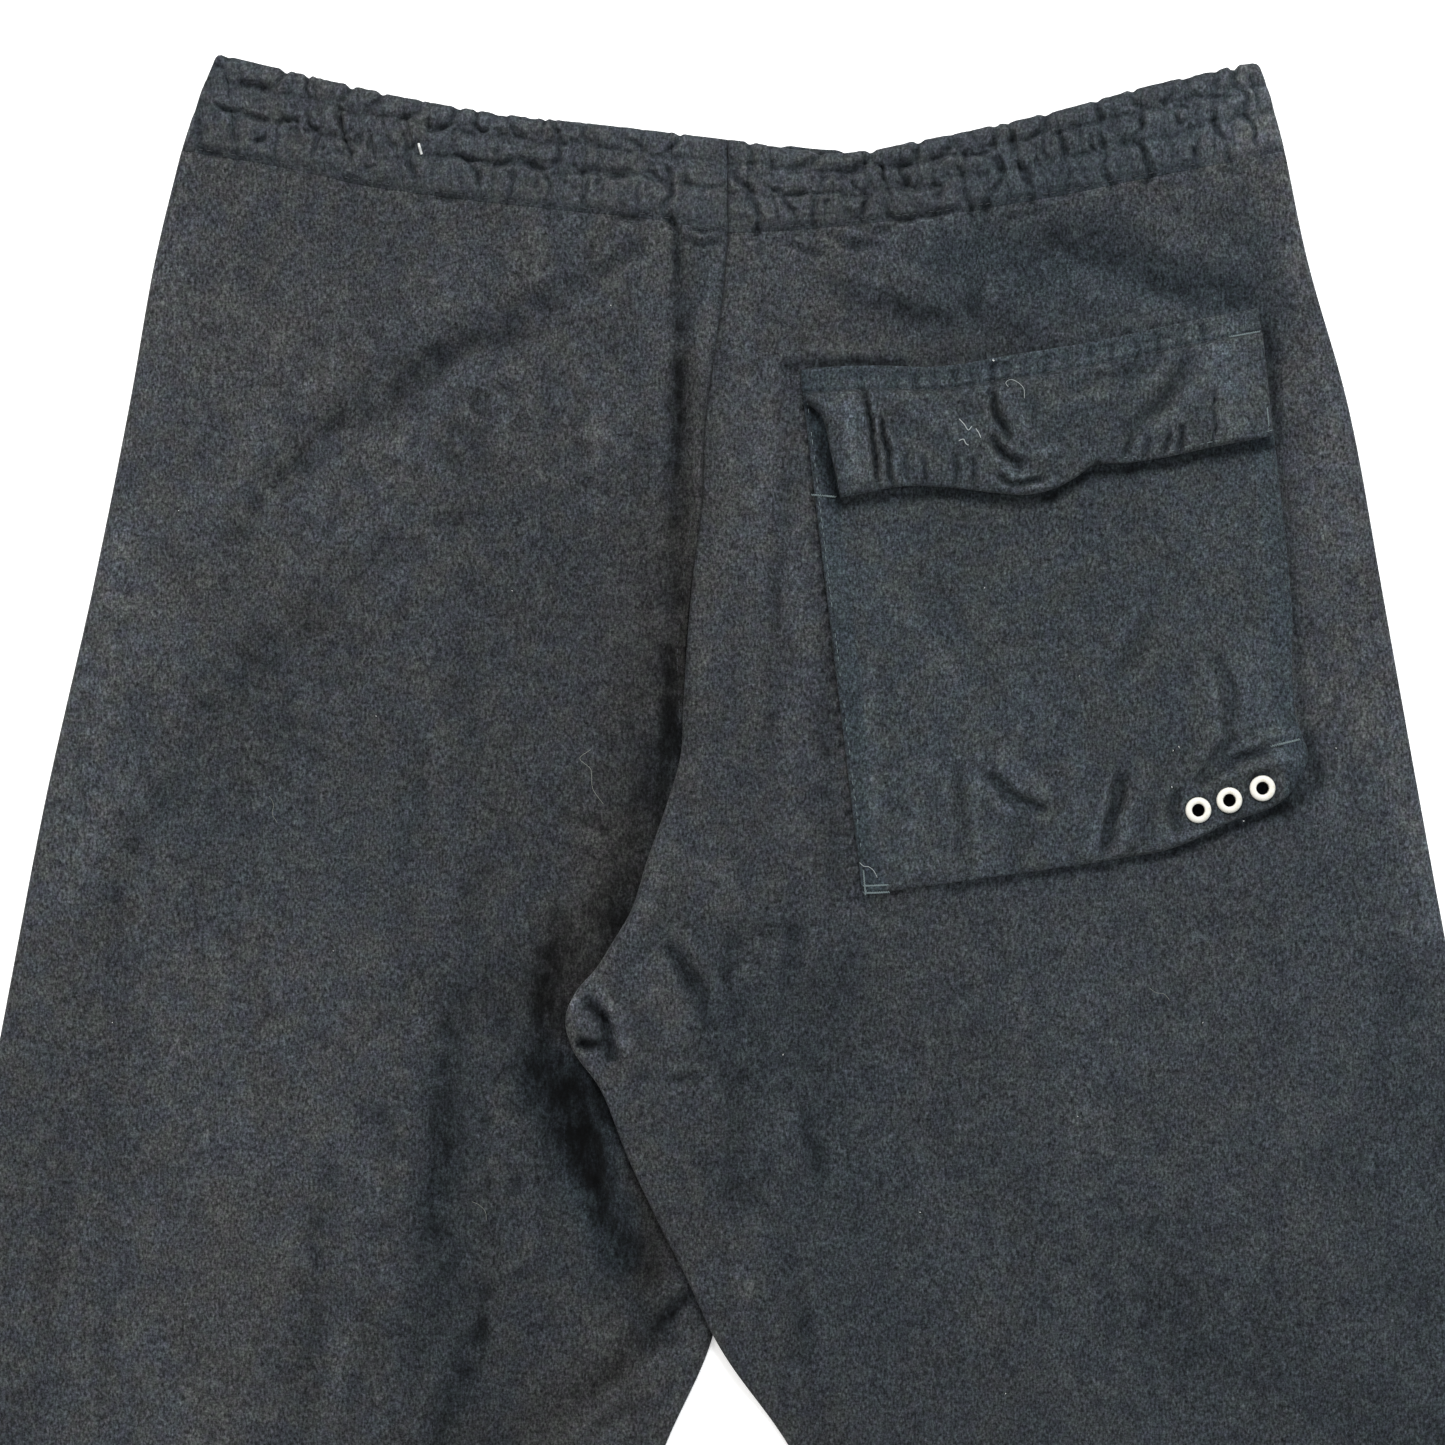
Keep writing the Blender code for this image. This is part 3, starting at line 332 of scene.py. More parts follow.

# Painted light and shade in broad soft strokes: shade in hollows, creases and under edges, light on
# lit patches. Columns: start, middle, end, half width, and strength, below nought where shade is painted
Stroke = namedtuple("Stroke", "start middle end half_width strength")
# Painted light and shade on the left back, among them the painted shadow beside the right leg's edge
LEFT_LIGHT_AND_SHADE = (
    Stroke((-16, 40), (-17, 100), (-18, 168), 6.5, -0.42),
    Stroke((-17, 86), (-17.5, 116), (-17.5, 146), 4.5, -0.20),
    Stroke((-19.3, 86), (-18.9, 105), (-19.2, 124), 1.5, -0.8),
    Stroke((-22.5, 192), (-21.8, 211), (-20, 228), 4.0, -1.25),
    Stroke((-54, 150), (-54, 167), (-56, 184), 14.0, -0.12),
    Stroke((-18, 170), (-24, 205), (-32, 244), 13.0, -0.42),
    Stroke((-20, 230), (-32, 264), (-42, 292), 10.0, -0.95),
    Stroke((-24, 132), (-27, 150), (-26, 168), 11.0, -0.14),
    Stroke((-40, 215), (-56, 240), (-66, 262), 22.0, -0.18),
    Stroke((-42, 290), (-52, 306), (-66, 322), 9.5, -0.78),
    Stroke((-66, 304), (-68, 322), (-66, 342), 9.0, -0.95),
    Stroke((-82, 280), (-84, 300), (-82, 345), 11.0, -0.16),
    Stroke((-107, 308), (-107, 318), (-107, 330), 10.0, 0.14),
    Stroke((-67, 354), (-59, 366), (-52, 384), 10.0, -1.05),
    Stroke((-38, 376), (-33, 396), (-26, 424), 9.0, -0.36),
    Stroke((-36, 404), (-31, 424), (-26, 442), 9.5, -0.45),
    Stroke((-58, 352), (-48, 355), (-43, 368), 5.4, -0.9),
    Stroke((-56, 374), (-47, 398), (-38, 420), 9.0, -0.85),
    Stroke((-67, 350), (-60, 356), (-50, 360), 8.0, -0.9),
    Stroke((-64, 372), (-74, 384), (-84, 402), 12.0, -0.22),
    Stroke((-60, 366), (-54, 374), (-48, 388), 6.0, -0.5),
    Stroke((-70, 350), (-60, 400), (-40, 444), 12.0, -0.24),
    Stroke((-94, 316), (-103, 400), (-104, 520), 18.0, -0.44),
    Stroke((-78, 430), (-84, 470), (-80, 510), 20.0, -0.26),
    Stroke((-118, 258), (-120, 272), (-122, 286), 12.0, -0.14),
    Stroke((-121, 326), (-122, 350), (-121, 380), 14.0, -0.16),
    Stroke((-150, 400), (-158, 440), (-162, 500), 14.0, -0.10),
    Stroke((-60, 110), (-84, 200), (-100, 230), 30.0, -0.10),
    Stroke((-60, 50), (-96, 74), (-134, 98), 12.0, -0.12),
    Stroke((-96, 96), (-150, 118), (-196, 170), 12.0, -0.06),
    Stroke((-148, 186), (-160, 205), (-172, 225), 18.0, -0.14),
    Stroke((-176, 200), (-186, 225), (-196, 250), 18.0, -0.10),
    Stroke((-206, -20), (-220, 80), (-234, 160), 15.0, 0.24),
    Stroke((-230, 175), (-238, 210), (-242, 262), 18.0, 0.30),
    Stroke((-258, 280), (-264, 300), (-268, 330), 13.0, 0.18),
    Stroke((-222, 318), (-222, 336), (-222, 352), 14.0, 0.14),
    Stroke((-176, 320), (-184, 420), (-206, 560), 44.0, 0.17),
    Stroke((-236, 420), (-240, 460), (-250, 520), 26.0, 0.06),
    Stroke((-196, 60), (-180, 90), (-190, 130), 26.0, 0.14),
    Stroke((-60, 104), (-66, 112), (-80, 118), 20.0, 0.14),
    Stroke((-124, 124), (-128, 128), (-130, 134), 22.0, 0.14),
    Stroke((-150, 56), (-155, 68), (-160, 80), 16.0, 0.10),
    Stroke((-8, 434), (-24, 446), (-44, 462), 9.0, -0.30),
    Stroke((-107, 386), (-107, 400), (-106, 420), 10.0, -0.12),
    Stroke((-12.5, 431), (-16, 435.5), (-22, 442), 1.3, -1.2),
    Stroke((-150, 444), (-153, 460), (-158, 480), 18.0, -0.12),
    Stroke((-8, 46), (-8, 60), (-8, 76), 9.0, 0.20),
    Stroke((-108, 96), (-100, 108), (-104, 124), 14.0, -0.12),
    Stroke((-114, 70), (-102, 80), (-94, 84), 9.0, 0.14),
    Stroke((-203, 140), (-204, 160), (-208, 200), 12.0, 0.12),
    Stroke((-139, 330), (-139, 350), (-139, 372), 12.0, 0.12),
    Stroke((-40, 470), (-52, 472), (-64, 476), 12.0, -0.22),
)
# Painted light and shade on the right back, among them painted shadows beside and under the pocket and its
# flap
RIGHT_LIGHT_AND_SHADE = (
    Stroke((60, 345), (36, 400), (56, 520), 40.0, -0.22),
    Stroke((-14, 318), (-4, 340), (2, 390), 13.0, -0.24),
    Stroke((-6, 150), (-6, 175), (-8, 200), 8.0, 0.12),
    Stroke((96, 380), (104, 396), (118, 410), 20.0, -0.10),
    Stroke((14, 352), (18, 368), (20, 384), 9.0, -0.14),
    Stroke((70, 336), (72, 352), (72, 370), 12.0, 0.12),
    Stroke((222, 160), (226, 178), (230, 200), 9.0, 0.12),
    Stroke((-8, 282), (-6, 291), (-5, 300), 9.0, 0.16),
    Stroke((-34, 352), (-24, 372), (-14, 398), 8.0, -0.24),
    Stroke((24, 290), (34, 298), (44, 310), 14.0, -0.17),
    Stroke((90, 462), (100, 474), (116, 490), 18.0, -0.13),
    Stroke((0, 205), (0, 225), (4, 246), 12.0, -0.12),
    Stroke((74, 38), (98, 40), (124, 38), 9.0, -0.16),
    Stroke((250, 355), (254, 386), (262, 420), 22.0, -0.14),
    Stroke((48, 40), (48, 60), (48, 80), 12.0, 0.14),
    Stroke((6, 298), (10, 318), (22, 330), 20.0, -0.26),
    Stroke((8, 46), (8, 100), (6, 150), 12.0, 0.10),
    Stroke((112, 40), (150, 47), (200, 60), 16.0, -0.36),
    Stroke((52, 60), (84, 70), (112, 78), 15.0, -0.42),
    Stroke((160, 440), (200, 460), (270, 500), 34.0, -0.28),
    Stroke((210, -20), (224, 80), (232, 150), 12.0, 0.36),
    Stroke((242, 190), (252, 240), (264, 290), 14.0, 0.34),
    Stroke((216, 200), (222, 232), (226, 250), 7.0, 0.18),
    Stroke((-60, 268), (-40, 330), (0, 420), 12.0, 0.08),
    Stroke((-55.5, 337), (-52.5, 338.5), (-49, 338), 1.9, -1.5),
    Stroke((-53, 323), (-47.2, 329.5), (-45.8, 343), 2.0, -1.3),
    Stroke((-50, 318), (-43.6, 325), (-42, 338), 2.0, 0.5),
    Stroke((-16.5, 194), (-16, 212), (-16, 228), 2.4, -0.35),
    Stroke((-57, 321), (-59, 327), (-57, 336), 1.6, 0.3),
    Stroke((22, 84.6), (42, 83.2), (64, 83.4), 1.9, -1.3),
    Stroke((64, 83.4), (104, 79.5), (150, 71), 1.8, -0.4),
    Stroke((201.4, 67), (203.8, 88), (206.2, 113), 2.8, -0.8),
    Stroke((206, 116), (212, 172), (216, 222), 2.4, -0.35),
    Stroke((217.5, 224), (220.8, 240), (208, 251), 3.2, -1.0),
    Stroke((210, 250), (188, 258.5), (166, 267.5), 1.9, -0.9),
    Stroke((166, 267.5), (122, 275.5), (84, 281), 1.6, -0.7),
    Stroke((28.4, 100), (40, 206), (48.8, 284), 1.0, -1.6),
)
# Painted light on the casing, most at its right end, and a faint painted shade
CASING_LIGHT_AND_SHADE = (
    Stroke((-226, -30), (-100, 0), (10, 18), 30.0, 0.08),
    Stroke((-20, 10), (0, 16), (24, 20), 16.0, 0.10),
    Stroke((40, 26), (90, 22), (140, 10), 16.0, -0.05),
    Stroke((194, 6), (204, -8), (208, -24), 14.0, 0.60),
    Stroke((160, -6), (178, -13), (190, -18), 9.0, 0.14),
)
# Painted shadows under the flap, beside its left edge and at the lower right corner, and painted light on
# the pocket
POCKET_LIGHT_AND_SHADE = (
    Stroke((31.5, 101), (35.6, 114), (39.6, 134), 2.7, -1.2),
    Stroke((41, 137), (82, 133), (120, 134.5), 2.8, -0.7),
    Stroke((120, 134.5), (134, 126.6), (150, 124), 2.5, -0.8),
    Stroke((150, 124), (180, 118.6), (206, 114.5), 2.8, -0.8),
    Stroke((52, 240), (66, 262), (84, 276), 14.0, 0.22),
    Stroke((46, 130), (60, 180), (110, 214), 24.0, 0.12),
    Stroke((180, 140), (186, 180), (194, 215), 14.0, 0.16),
    Stroke((80, 228), (98, 238), (116, 246), 16.0, 0.13),
    Stroke((136, 262), (148, 264), (160, 262), 12.0, 0.12),
    Stroke((198, 118), (203, 172), (207, 240), 6.0, 0.16),
    Stroke((188, 254), (200, 250), (212, 244), 4.0, -0.3),
)
# Painted highlights on the flap's folds, and a painted shadow at its top left corner
FLAP_LIGHT_AND_SHADE = (
    Stroke((43, 96), (46, 115), (48, 132), 7.0, 0.22),
    Stroke((62, 104), (78, 108), (94, 114), 6.0, 0.10),
    Stroke((182, 72), (188, 92), (190, 110), 14.0, 0.32),
    Stroke((100, 122), (114, 129), (126, 127), 8.0, 0.14),
    Stroke((46, 104), (50, 120), (56, 132), 10.0, 0.12),
    Stroke((70, 104), (78, 114), (82, 124), 8.0, 0.10),
    Stroke((27, 88), (28, 94), (30, 100), 2.6, -0.5),
)
# Where the cloth shows more of its cool dye, or of its brown one where the strength is below nought
LEFT_DYES = (
    Stroke((-64, 352), (-56, 376), (-42, 410), 13.0, 1.0),
    Stroke((-12, 84), (-13, 140), (-17, 205), 6.0, -0.9),
    Stroke((-28, 150), (-34, 182), (-38, 215), 18.0, -0.7),
    Stroke((-40, 256), (-52, 292), (-58, 322), 15.0, -1.1),
    Stroke((-30, 380), (-32, 400), (-28, 424), 9.0, -1.0),
    Stroke((-40, 462), (-56, 472), (-66, 486), 16.0, -0.9),
    Stroke((-200, 60), (-170, 84), (-150, 66), 26.0, -0.5),
    Stroke((-204, 160), (-190, 166), (-170, 164), 20.0, -0.5),
    Stroke((-188, 400), (-186, 430), (-188, 470), 20.0, -0.6),
    Stroke((-240, 240), (-190, 262), (-150, 270), 26.0, 0.4),
    Stroke((-106, 340), (-107, 400), (-108, 470), 12.0, 0.4),
    Stroke((-60, 352), (-54, 376), (-44, 412), 10.0, 0.7),
)
RIGHT_DYES = (
    Stroke((-9, 165), (-12, 205), (-16, 240), 4.5, -0.5),
    Stroke((84, 46), (130, 50), (190, 58), 22.0, 1.0),
    Stroke((10, 330), (40, 380), (50, 430), 34.0, 0.5),
    Stroke((130, 290), (150, 400), (180, 600), 70.0, 0.45),
    Stroke((240, 260), (262, 400), (310, 640), 46.0, 0.6),
    Stroke((-2, 100), (-4, 130), (-8, 160), 14.0, -0.3),
)
CASING_DYES = (
    Stroke((110, 16), (150, 6), (186, -8), 18.0, 0.6),
    Stroke((-160, -6), (-150, -6), (-130, -4), 16.0, -0.4),
)
# How much of the cool dye shows where cloth lies double: over the seam allowance, in the casing, in the
# pocket's turned edges, and in the flap, most of it in its strip
DOUBLED_ALLOWANCE = 0.5
DOUBLED_CASING = 0.4
DOUBLED_HEM = 0.7
FLAP_DYE = 0.1
STRIP_DYE = 0.5
# Width of the seam allowance pressed to the left of the centre-back seam, and where it has faded out
SEAM_ALLOWANCE = (8.0, 12.0)
# How far down it still shows in the cloth over it
ALLOWANCE_SHOWS = (55.0, 95.0)

# Painted shade in the cloth's hollows, and painted highlight on its crests, from its relief: distance over
# which a hollow counts, strength for each millimetre
HOLLOWS = ((16.0, 0.26), (5.0, 0.24))
FINE_HOLLOWS = ((9.0, 0.28), (2.6, 0.30))
CASING_HOLLOWS = ((9.0, 0.18), (2.6, 0.30))
HOLLOW_RANGE = (-4, 1.5)
SHADE_RANGE = (0.5, 1.3)

# Creases where the elastic gathers the casing, and their runs into the cloth beside it
CREASES_LEFT = (
    Fold((-195, -26), (-190, -28.5), (-186, -31), 1.6, -1.6),
    Fold((-185, -21.5), (-176, -20.5), (-169, -19.5), 1.3, -2.0),
    Fold((-170, -19.5), (-168, -22.5), (-165.5, -27), 1.1, -1.9),
    Fold((-158, -25), (-157.8, -20), (-156.5, -13.5), 1.0, -1.9),
    Fold((-155, -22), (-153, -20), (-150, -21), 1.2, -1.1),
    Fold((-147, -13.5), (-143, -17.5), (-139.3, -20.5), 1.3, -2.4),
    Fold((-137, -10), (-133, -12.5), (-129, -18), 1.4, -2.2),
    Fold((-125, -8), (-119, -9), (-113.5, -13), 1.2, -2.1),
    Fold((-113, -4), (-106, -5), (-100.5, -12), 1.2, -2.5),
    Fold((-192, -14.5), (-187, -11), (-182, -10), 1.1, -1.8),
    Fold((-181, -9.5), (-176, -8), (-171, -7), 1.2, -1.8),
    Fold((-169.5, -6.5), (-165, -7.5), (-160, -7), 1.1, -2.0),
    Fold((-198, -15), (-198.2, -6), (-196.5, 2), 1.6, -2.0),
    Fold((-198.5, 1), (-195, 5), (-190, 5.5), 1.4, -1.6),
    Fold((-185.5, -9), (-184.8, -4), (-184.5, 6), 1.4, -1.6),
    Fold((-179, 2.2), (-175.5, 0), (-172.5, -3.5), 1.0, -2.3),
    Fold((-157.5, -12), (-156.8, -6.5), (-152, -4), 1.1, -2.5),
    Fold((-153.8, -4.5), (-154.5, 1), (-156.5, 8), 1.0, -1.9),
    Fold((-160, -4), (-157, -3.5), (-153.5, -4), 0.9, -1.4),
    Fold((-145, -13), (-146.2, -6), (-144, -1), 1.2, -2.6),
    Fold((-144.2, -2), (-142.5, 2), (-141.5, 9), 1.1, -2.1),
    Fold((-144, -1.5), (-142, -4), (-141, -6), 1.0, -1.6),
    Fold((-151, 4.5), (-146, 5), (-141, 4.5), 1.0, -1.1),
    Fold((-139, -4), (-138, -1), (-139, 2), 1.3, -1.1),
    Fold((-134, -2), (-134, 2), (-134.5, 5), 1.1, -1.1),
    Fold((-121.5, -4), (-120.5, 2), (-120.5, 6.5), 1.3, -2.3),
    Fold((-120.8, 5), (-119, 10), (-116.5, 16), 1.3, -2.6),
    Fold((-120, 3.5), (-118, 2.5), (-115.5, 0), 0.9, -1.5),
    Fold((-110, 4), (-107, 6), (-104, 5), 1.3, -1.0),
    Fold((-139.5, 11.5), (-135, 11), (-131, 9.5), 0.9, -1.1),
    Fold((-94, -11), (-94, -6), (-90, -2.3), 1.1, -2.1),
    Fold((-89, -7), (-86, -8), (-83, -9.5), 1.6, -1.3),
    Fold((-84, -8.5), (-81.5, -4.5), (-75.5, -1.3), 1.3, -1.8),
    Fold((-75, -8.5), (-73.5, -7.5), (-72, -6), 1.1, -1.2),
    Fold((-70, -8), (-69.5, -4), (-70, 0.5), 1.0, -1.5),
    Fold((-66, -7), (-63.5, -2), (-59.5, 1.8), 1.1, -1.6),
    Fold((-54, -5.5), (-53, 1), (-49.5, 2), 1.1, -1.4),
    Fold((-38.5, 1.3), (-34.5, 2.3), (-30.5, 2.8), 1.0, -1.9),
    Fold((-25.3, 6.8), (-21.5, 4), (-18.3, -3), 1.1, -2.2),
    Fold((-103.5, 5), (-98, 8), (-91.5, 6.5), 1.2, -2.0),
    Fold((-91.5, 7), (-86, 9.8), (-78.5, 5.8), 1.2, -2.4),
    Fold((-78.5, 6), (-73, 9.5), (-66.5, 10.7), 1.2, -2.0),
    Fold((-66.5, 10.6), (-63.3, 8), (-63.3, 1.5), 1.2, -2.3),
    Fold((-60.5, 10.5), (-54, 11.7), (-47.5, 11), 1.2, -1.8),
    Fold((-47.5, 10.5), (-41, 13), (-35.5, 12), 1.3, -2.1),
    Fold((-33.5, 12), (-27, 13), (-22.5, 17.5), 1.1, -1.8),
    Fold((-23.7, 8.5), (-22.5, 13), (-21, 16), 1.2, -2.2),
    Fold((-21.3, 15), (-22, 21), (-25.5, 26.5), 1.4, -2.8),
    Fold((-18.5, 16), (-16, 15.5), (-12.5, 17), 2.0, -2.4),
    Fold((-13.5, 17.5), (-6, 18.5), (-0.5, 17), 1.0, -1.5),
    Fold((-17, 8), (-16, 11), (-16, 15), 1.0, -1.0),
    Fold((-25, 25.5), (-21, 31), (-18.3, 37), 1.5, -2.6),
    Fold((-19.5, 35), (-19.5, 44), (-19, 56), 1.5, -2.4),
    Fold((-98.5, 9), (-94.5, 13), (-92.5, 20), 1.2, -2.0),
    Fold((-80.5, 7.5), (-80.5, 14), (-83, 25), 1.1, -1.7),
    Fold((-70.5, 10), (-68, 15), (-67.5, 22), 1.1, -1.8),
    Fold((-51.5, 12), (-53.5, 17), (-54, 24), 1.2, -1.6),
    Fold((-48.5, 12), (-49.5, 16), (-51.5, 20), 1.0, -1.5),
    Fold((-33, 15.5), (-33.5, 21), (-34, 28), 1.0, -1.3),
    Fold((-15.5, 32.5), (-11, 34.5), (-7, 35.5), 1.0, -1.4),
    Fold((-17, 36.5), (-10, 39), (-1.5, 37.5), 1.1, -1.7),
    Fold((-45, 28.2), (-39, 29.3), (-31, 30.5), 1.3, -1.3),
    Fold((-112, 20.8), (-104, 21.5), (-97, 23), 1.3, -1.3),
)
CREASES_RIGHT = (
    Fold((8, 1), (8, 6), (10.5, 13), 1.2, -1.9),
    Fold((16.5, 6.5), (18.5, 10), (18, 12.5), 1.4, -1.1),
    Fold((23, 12.2), (29, 9.5), (37, 3.5), 1.4, -2.6),
    Fold((41, 12.7), (47, 10.8), (52.5, 8), 1.5, -2.7),
    Fold((51.5, 9.5), (53.5, 6), (54.8, 3.4), 1.7, -2.5),
    Fold((54.5, 8.5), (57.5, 12.5), (59, 15.5), 0.9, -2.0),
    Fold((61, 11), (67, 9), (73.5, 0.3), 1.5, -2.7),
    Fold((64.5, 10.5), (66.9, 15), (63.3, 20), 1.1, -2.4),
    Fold((78.5, 8.5), (81, 4), (85, -1), 1.4, -1.9),
    Fold((87.5, 7), (93, 5.5), (98.5, 3.5), 1.2, -2.0),
    Fold((97.5, 4.5), (99.5, 0), (101.3, -5), 1.2, -1.9),
    Fold((105.3, -7), (106.5, 0), (108, 7), 1.3, -2.5),
    Fold((2.5, 10.5), (5.5, 17), (8.8, 20), 1.4, -2.2),
    Fold((8, 18.5), (10, 26), (11, 36), 1.3, -2.5),
    Fold((12.5, 17.5), (17, 18), (21.5, 22.5), 1.0, -1.6),
    Fold((20.5, 20.5), (22.5, 25), (25, 32), 1.2, -2.1),
    Fold((19.5, 19.5), (25, 20.2), (31, 19.3), 1.0, -1.4),
    Fold((34, 11), (35.3, 15), (34, 20), 0.9, -1.5),
    Fold((33.5, 19), (32, 26), (32, 32.5), 1.2, -2.2),
    Fold((34.7, 25.3), (36.5, 23), (38.3, 21.2), 0.8, -1.4),
    Fold((39, 18), (41, 16), (43, 15), 0.9, -1.0),
    Fold((47.3, 12.5), (48.5, 18), (51.2, 20.3), 1.0, -1.7),
    Fold((50.5, 20.5), (52.5, 17), (53.2, 11.5), 0.9, -1.4),
    Fold((52.2, 20), (51, 25), (49.8, 31), 1.2, -2.6),
    Fold((41.5, 25.5), (45, 28), (49.5, 30.3), 1.6, -1.4),
    Fold((57.8, 22.5), (61, 28), (65.3, 30.2), 1.3, -1.9),
    Fold((64.5, 30.2), (68.5, 29.6), (71.5, 27), 1.2, -1.8),
    Fold((71, 28.2), (77, 27.6), (87, 26), 1.1, -1.5),
    Fold((67.5, 18.3), (74, 18), (81, 16), 1.0, -1.4),
    Fold((76.5, 17), (78.5, 17.5), (79, 23), 1.1, -1.3),
    Fold((84.5, 8.5), (87.5, 13.5), (88.7, 19.5), 1.1, -1.7),
    Fold((88.5, 18), (90.5, 24), (92, 31), 1.4, -2.1),
    Fold((100.3, 5.5), (101.8, 13), (100.3, 20), 1.4, -2.6),
    Fold((101, 17.5), (98, 22), (96, 31), 1.4, -1.8),
    Fold((107.8, 7.5), (111, 11.5), (112.7, 17), 1.2, -2.2),
    Fold((112.5, 15), (113, 19), (114, 25), 1.2, -1.5),
    Fold((111, 0.3), (117, -3), (121.5, -10.5), 1.3, -2.5),
    Fold((118, -1), (118.5, 4), (119.5, 9), 1.0, -1.5),
    Fold((123.8, -5), (126, 2), (126, 9.5), 1.2, -2.4),
    Fold((126.8, 8.5), (128, 14), (125.5, 19.5), 1.2, -2.1),
    Fold((135.8, -2.5), (137.5, 4), (139.7, 6.5), 1.0, -1.8),
    Fold((139.7, -5.5), (140.7, 0), (139.5, 6), 1.0, -1.6),
    Fold((129.5, 7), (133.5, 6.5), (137.5, 6), 1.0, -1.3),
    Fold((140, -17), (139, -11), (139.7, -5), 1.1, -1.6),
    Fold((140.5, 6.5), (142, 12), (143.7, 19), 1.2, -1.8),
    Fold((146.5, 0.8), (150.5, 2.3), (153.3, 0), 1.1, -1.9),
    Fold((152.3, -10), (155.3, -6), (153, 0.3), 1.2, -2.4),
    Fold((152.8, 0), (156.5, 6), (158.7, 11.5), 1.4, -2.6),
    Fold((158.6, 9.5), (157.7, 14), (155.3, 17.5), 1.1, -1.8),
    Fold((151.8, -20.5), (152.5, -15), (155, -11.2), 1.3, -1.9),
    Fold((161.2, -12.8), (165, -15), (168, -20), 1.2, -2.1),
    Fold((166.3, -10.5), (169.5, -6.2), (172.8, -8.5), 1.0, -2.0),
    Fold((166.3, -11), (169, -13.7), (172.2, -12), 0.9, -1.4),
    Fold((169, -23), (172, -22), (175, -22), 1.5, -1.6),
    Fold((173.8, -2.5), (175.3, 2), (175, 8), 1.2, -2.1),
    Fold((182.5, -26), (183, -22), (182.3, -18.5), 1.4, -1.7),
    Fold((188.6, -28.5), (190, -23.5), (190, -18), 1.3, -2.4),
    Fold((181.6, -11.5), (183, -5), (186.7, 0.5), 1.3, -2.4),
    Fold((186, -0.5), (187.5, 4), (188.7, 9), 1.2, -1.6),
    Fold((195.3, -27), (197.5, -18), (199.3, -11.5), 1.0, -1.9),
    Fold((191.8, -18.5), (194.7, -13.5), (193, -9), 1.1, -2.2),
    Fold((192.8, -10), (196.5, -4), (198.3, 4), 1.3, -2.5),
    Fold((190.5, -9), (195, -2), (199, 9), 1.8, 1.4),
    Fold((36, 34.5), (43, 38), (59, 39.7), 1.6, -1.8),
    Fold((21, 37.5), (28, 41), (37, 43), 1.4, -1.8),
    Fold((51, 35.5), (56, 34), (63, 32.7), 1.1, -1.3),
    Fold((63, 41), (66, 43), (69, 47), 1.1, -0.9),
    Fold((102, 29.5), (110, 28), (122, 25), 1.5, -1.5),
    Fold((158, 18), (162, 16), (170, 18), 1.6, -0.9),
    Fold((183, 9.5), (187, 11.5), (193, 10), 1.5, -0.9),
)
CREASE_WIDEN = 1.05
CREASE_FULLER = 0.85
# The casing's bands between its rows of stitches, from the seam upwards: where each starts and ends
# as a share of the casing's height, and how full it is
Band = namedtuple("Band", "start end fullness")
BANDS = (Band(0.0, 0.44, 1.1), Band(0.44, 0.74, 1.0), Band(0.74, 1.0, 1.3))
STITCH_GROOVE = (1.1, -0.35)
CASING_LENGTH = 200.0
CASING_HEIGHT = 36.0
CASING_CELL = (0.55, 0.5)
# How far above the waist seam the gathers take over from the panel's folds
GATHERS_START = (0.0, 5.0)
# The part of the left half beside the centre-back seam that isn't gathered, and the share of its puffs
# and of its ruffles that it lacks
FLAT_PATCH = (9.0, 14.0)
PUFFS_LOST = 0.6
RUFFLES_LOST = 0.8
# The channels' stitching wanders up and down: length, distance
CHANNEL_WAVES = ((26.0, 0.9), (9.0, 0.6))
# Ruffles run up and down between the channels, where these waves pass through nought. They are deeper
# where the cloth is drawn in less
RUFFLE_WAVES = ((17.0, 1.0), (9.0, 0.35))
RUFFLE_SPREAD = 0.35
RUFFLE_WIDTH = 0.28
RUFFLE_DEPTH = 0.7
RUFFLE_SLACK = 1.6
CRUMPLE_WAVES = ((7.0, 0.25), (3.6, 0.14))
LOOSE_RISE = 0.3
# How much the creases cut into the casing's top edge, the share of its height below the edge at which
# they are read, their limits, and the part of the height that moves
EDGE_RIPPLE = 0.55
EDGE_READ = 0.04
EDGE_CUTS = (-0.6, 3.0)
EDGE_RIM = (0.86, 1.0)
# The casing's outer top corners are rounded by this much, in this part of its height
CASING_CORNER = 4.0
CORNER_RISE = (0.6, 1.0)

# The front casing starts inside the side seam, and shows a little above the back one from 15 to 48
# across. Its creases are faint copies of the back's
FRONT_CASING_INSET = 6.0
FRONT_CASING_CELL = (1.4, 1.6)
FRONT_PEEK_STARTS = (15, 24)
FRONT_PEEK_ENDS = (40, 48)
FRONT_PEEK = 2.8
FRONT_TOP_DROP = 1.2
FRONT_CREASES = 0.16
FRONT_CREASE_LIMIT = 0.5
FRONT_SHADING = 4.0
# How it turns over at the waist and back down inside: distance below its top, rise
FRONT_TURN_STARTS = 2.0
FRONT_TURN = ((1.2, 0.075), (0.3, 0.3), (0.0, 0.55), (0.3, 0.8), (1.2, 0.95), (4.0, 1.0))

# Gathers that run on below the waist seam and fade out: across, depth, lean to the right
PUCKERS = (
    (-197, 0.7, -2), (-185, 0.8, 0), (-171, 0.5, 2), (-156.5, 0.9, 0), (-142, 0.9, 2), (-131, 0.4, 0),
    (-116, 1.0, 3), (-105, 0.6, 0), (-92.5, 0.8, 2), (-83, 0.7, -1), (-67.5, 0.7, 1), (-54, 0.6, 0),
    (-34, 0.7, 0), (11, 0.9, 1), (25, 0.8, 2), (32, 0.8, 0), (50, 0.9, -1), (65, 0.7, 2), (79, 0.6, 0),
    (92, 0.9, 1), (96, 0.6, -2), (114, 0.8, 2), (126, 0.8, -1), (143.5, 0.9, 2), (156, 0.8, -2),
    (175, 0.8, 0), (188.5, 0.7, 2), (199, 0.6, 2),
)
PUCKER_REACH = 9.0
PUCKER_WIDTH = 2.4

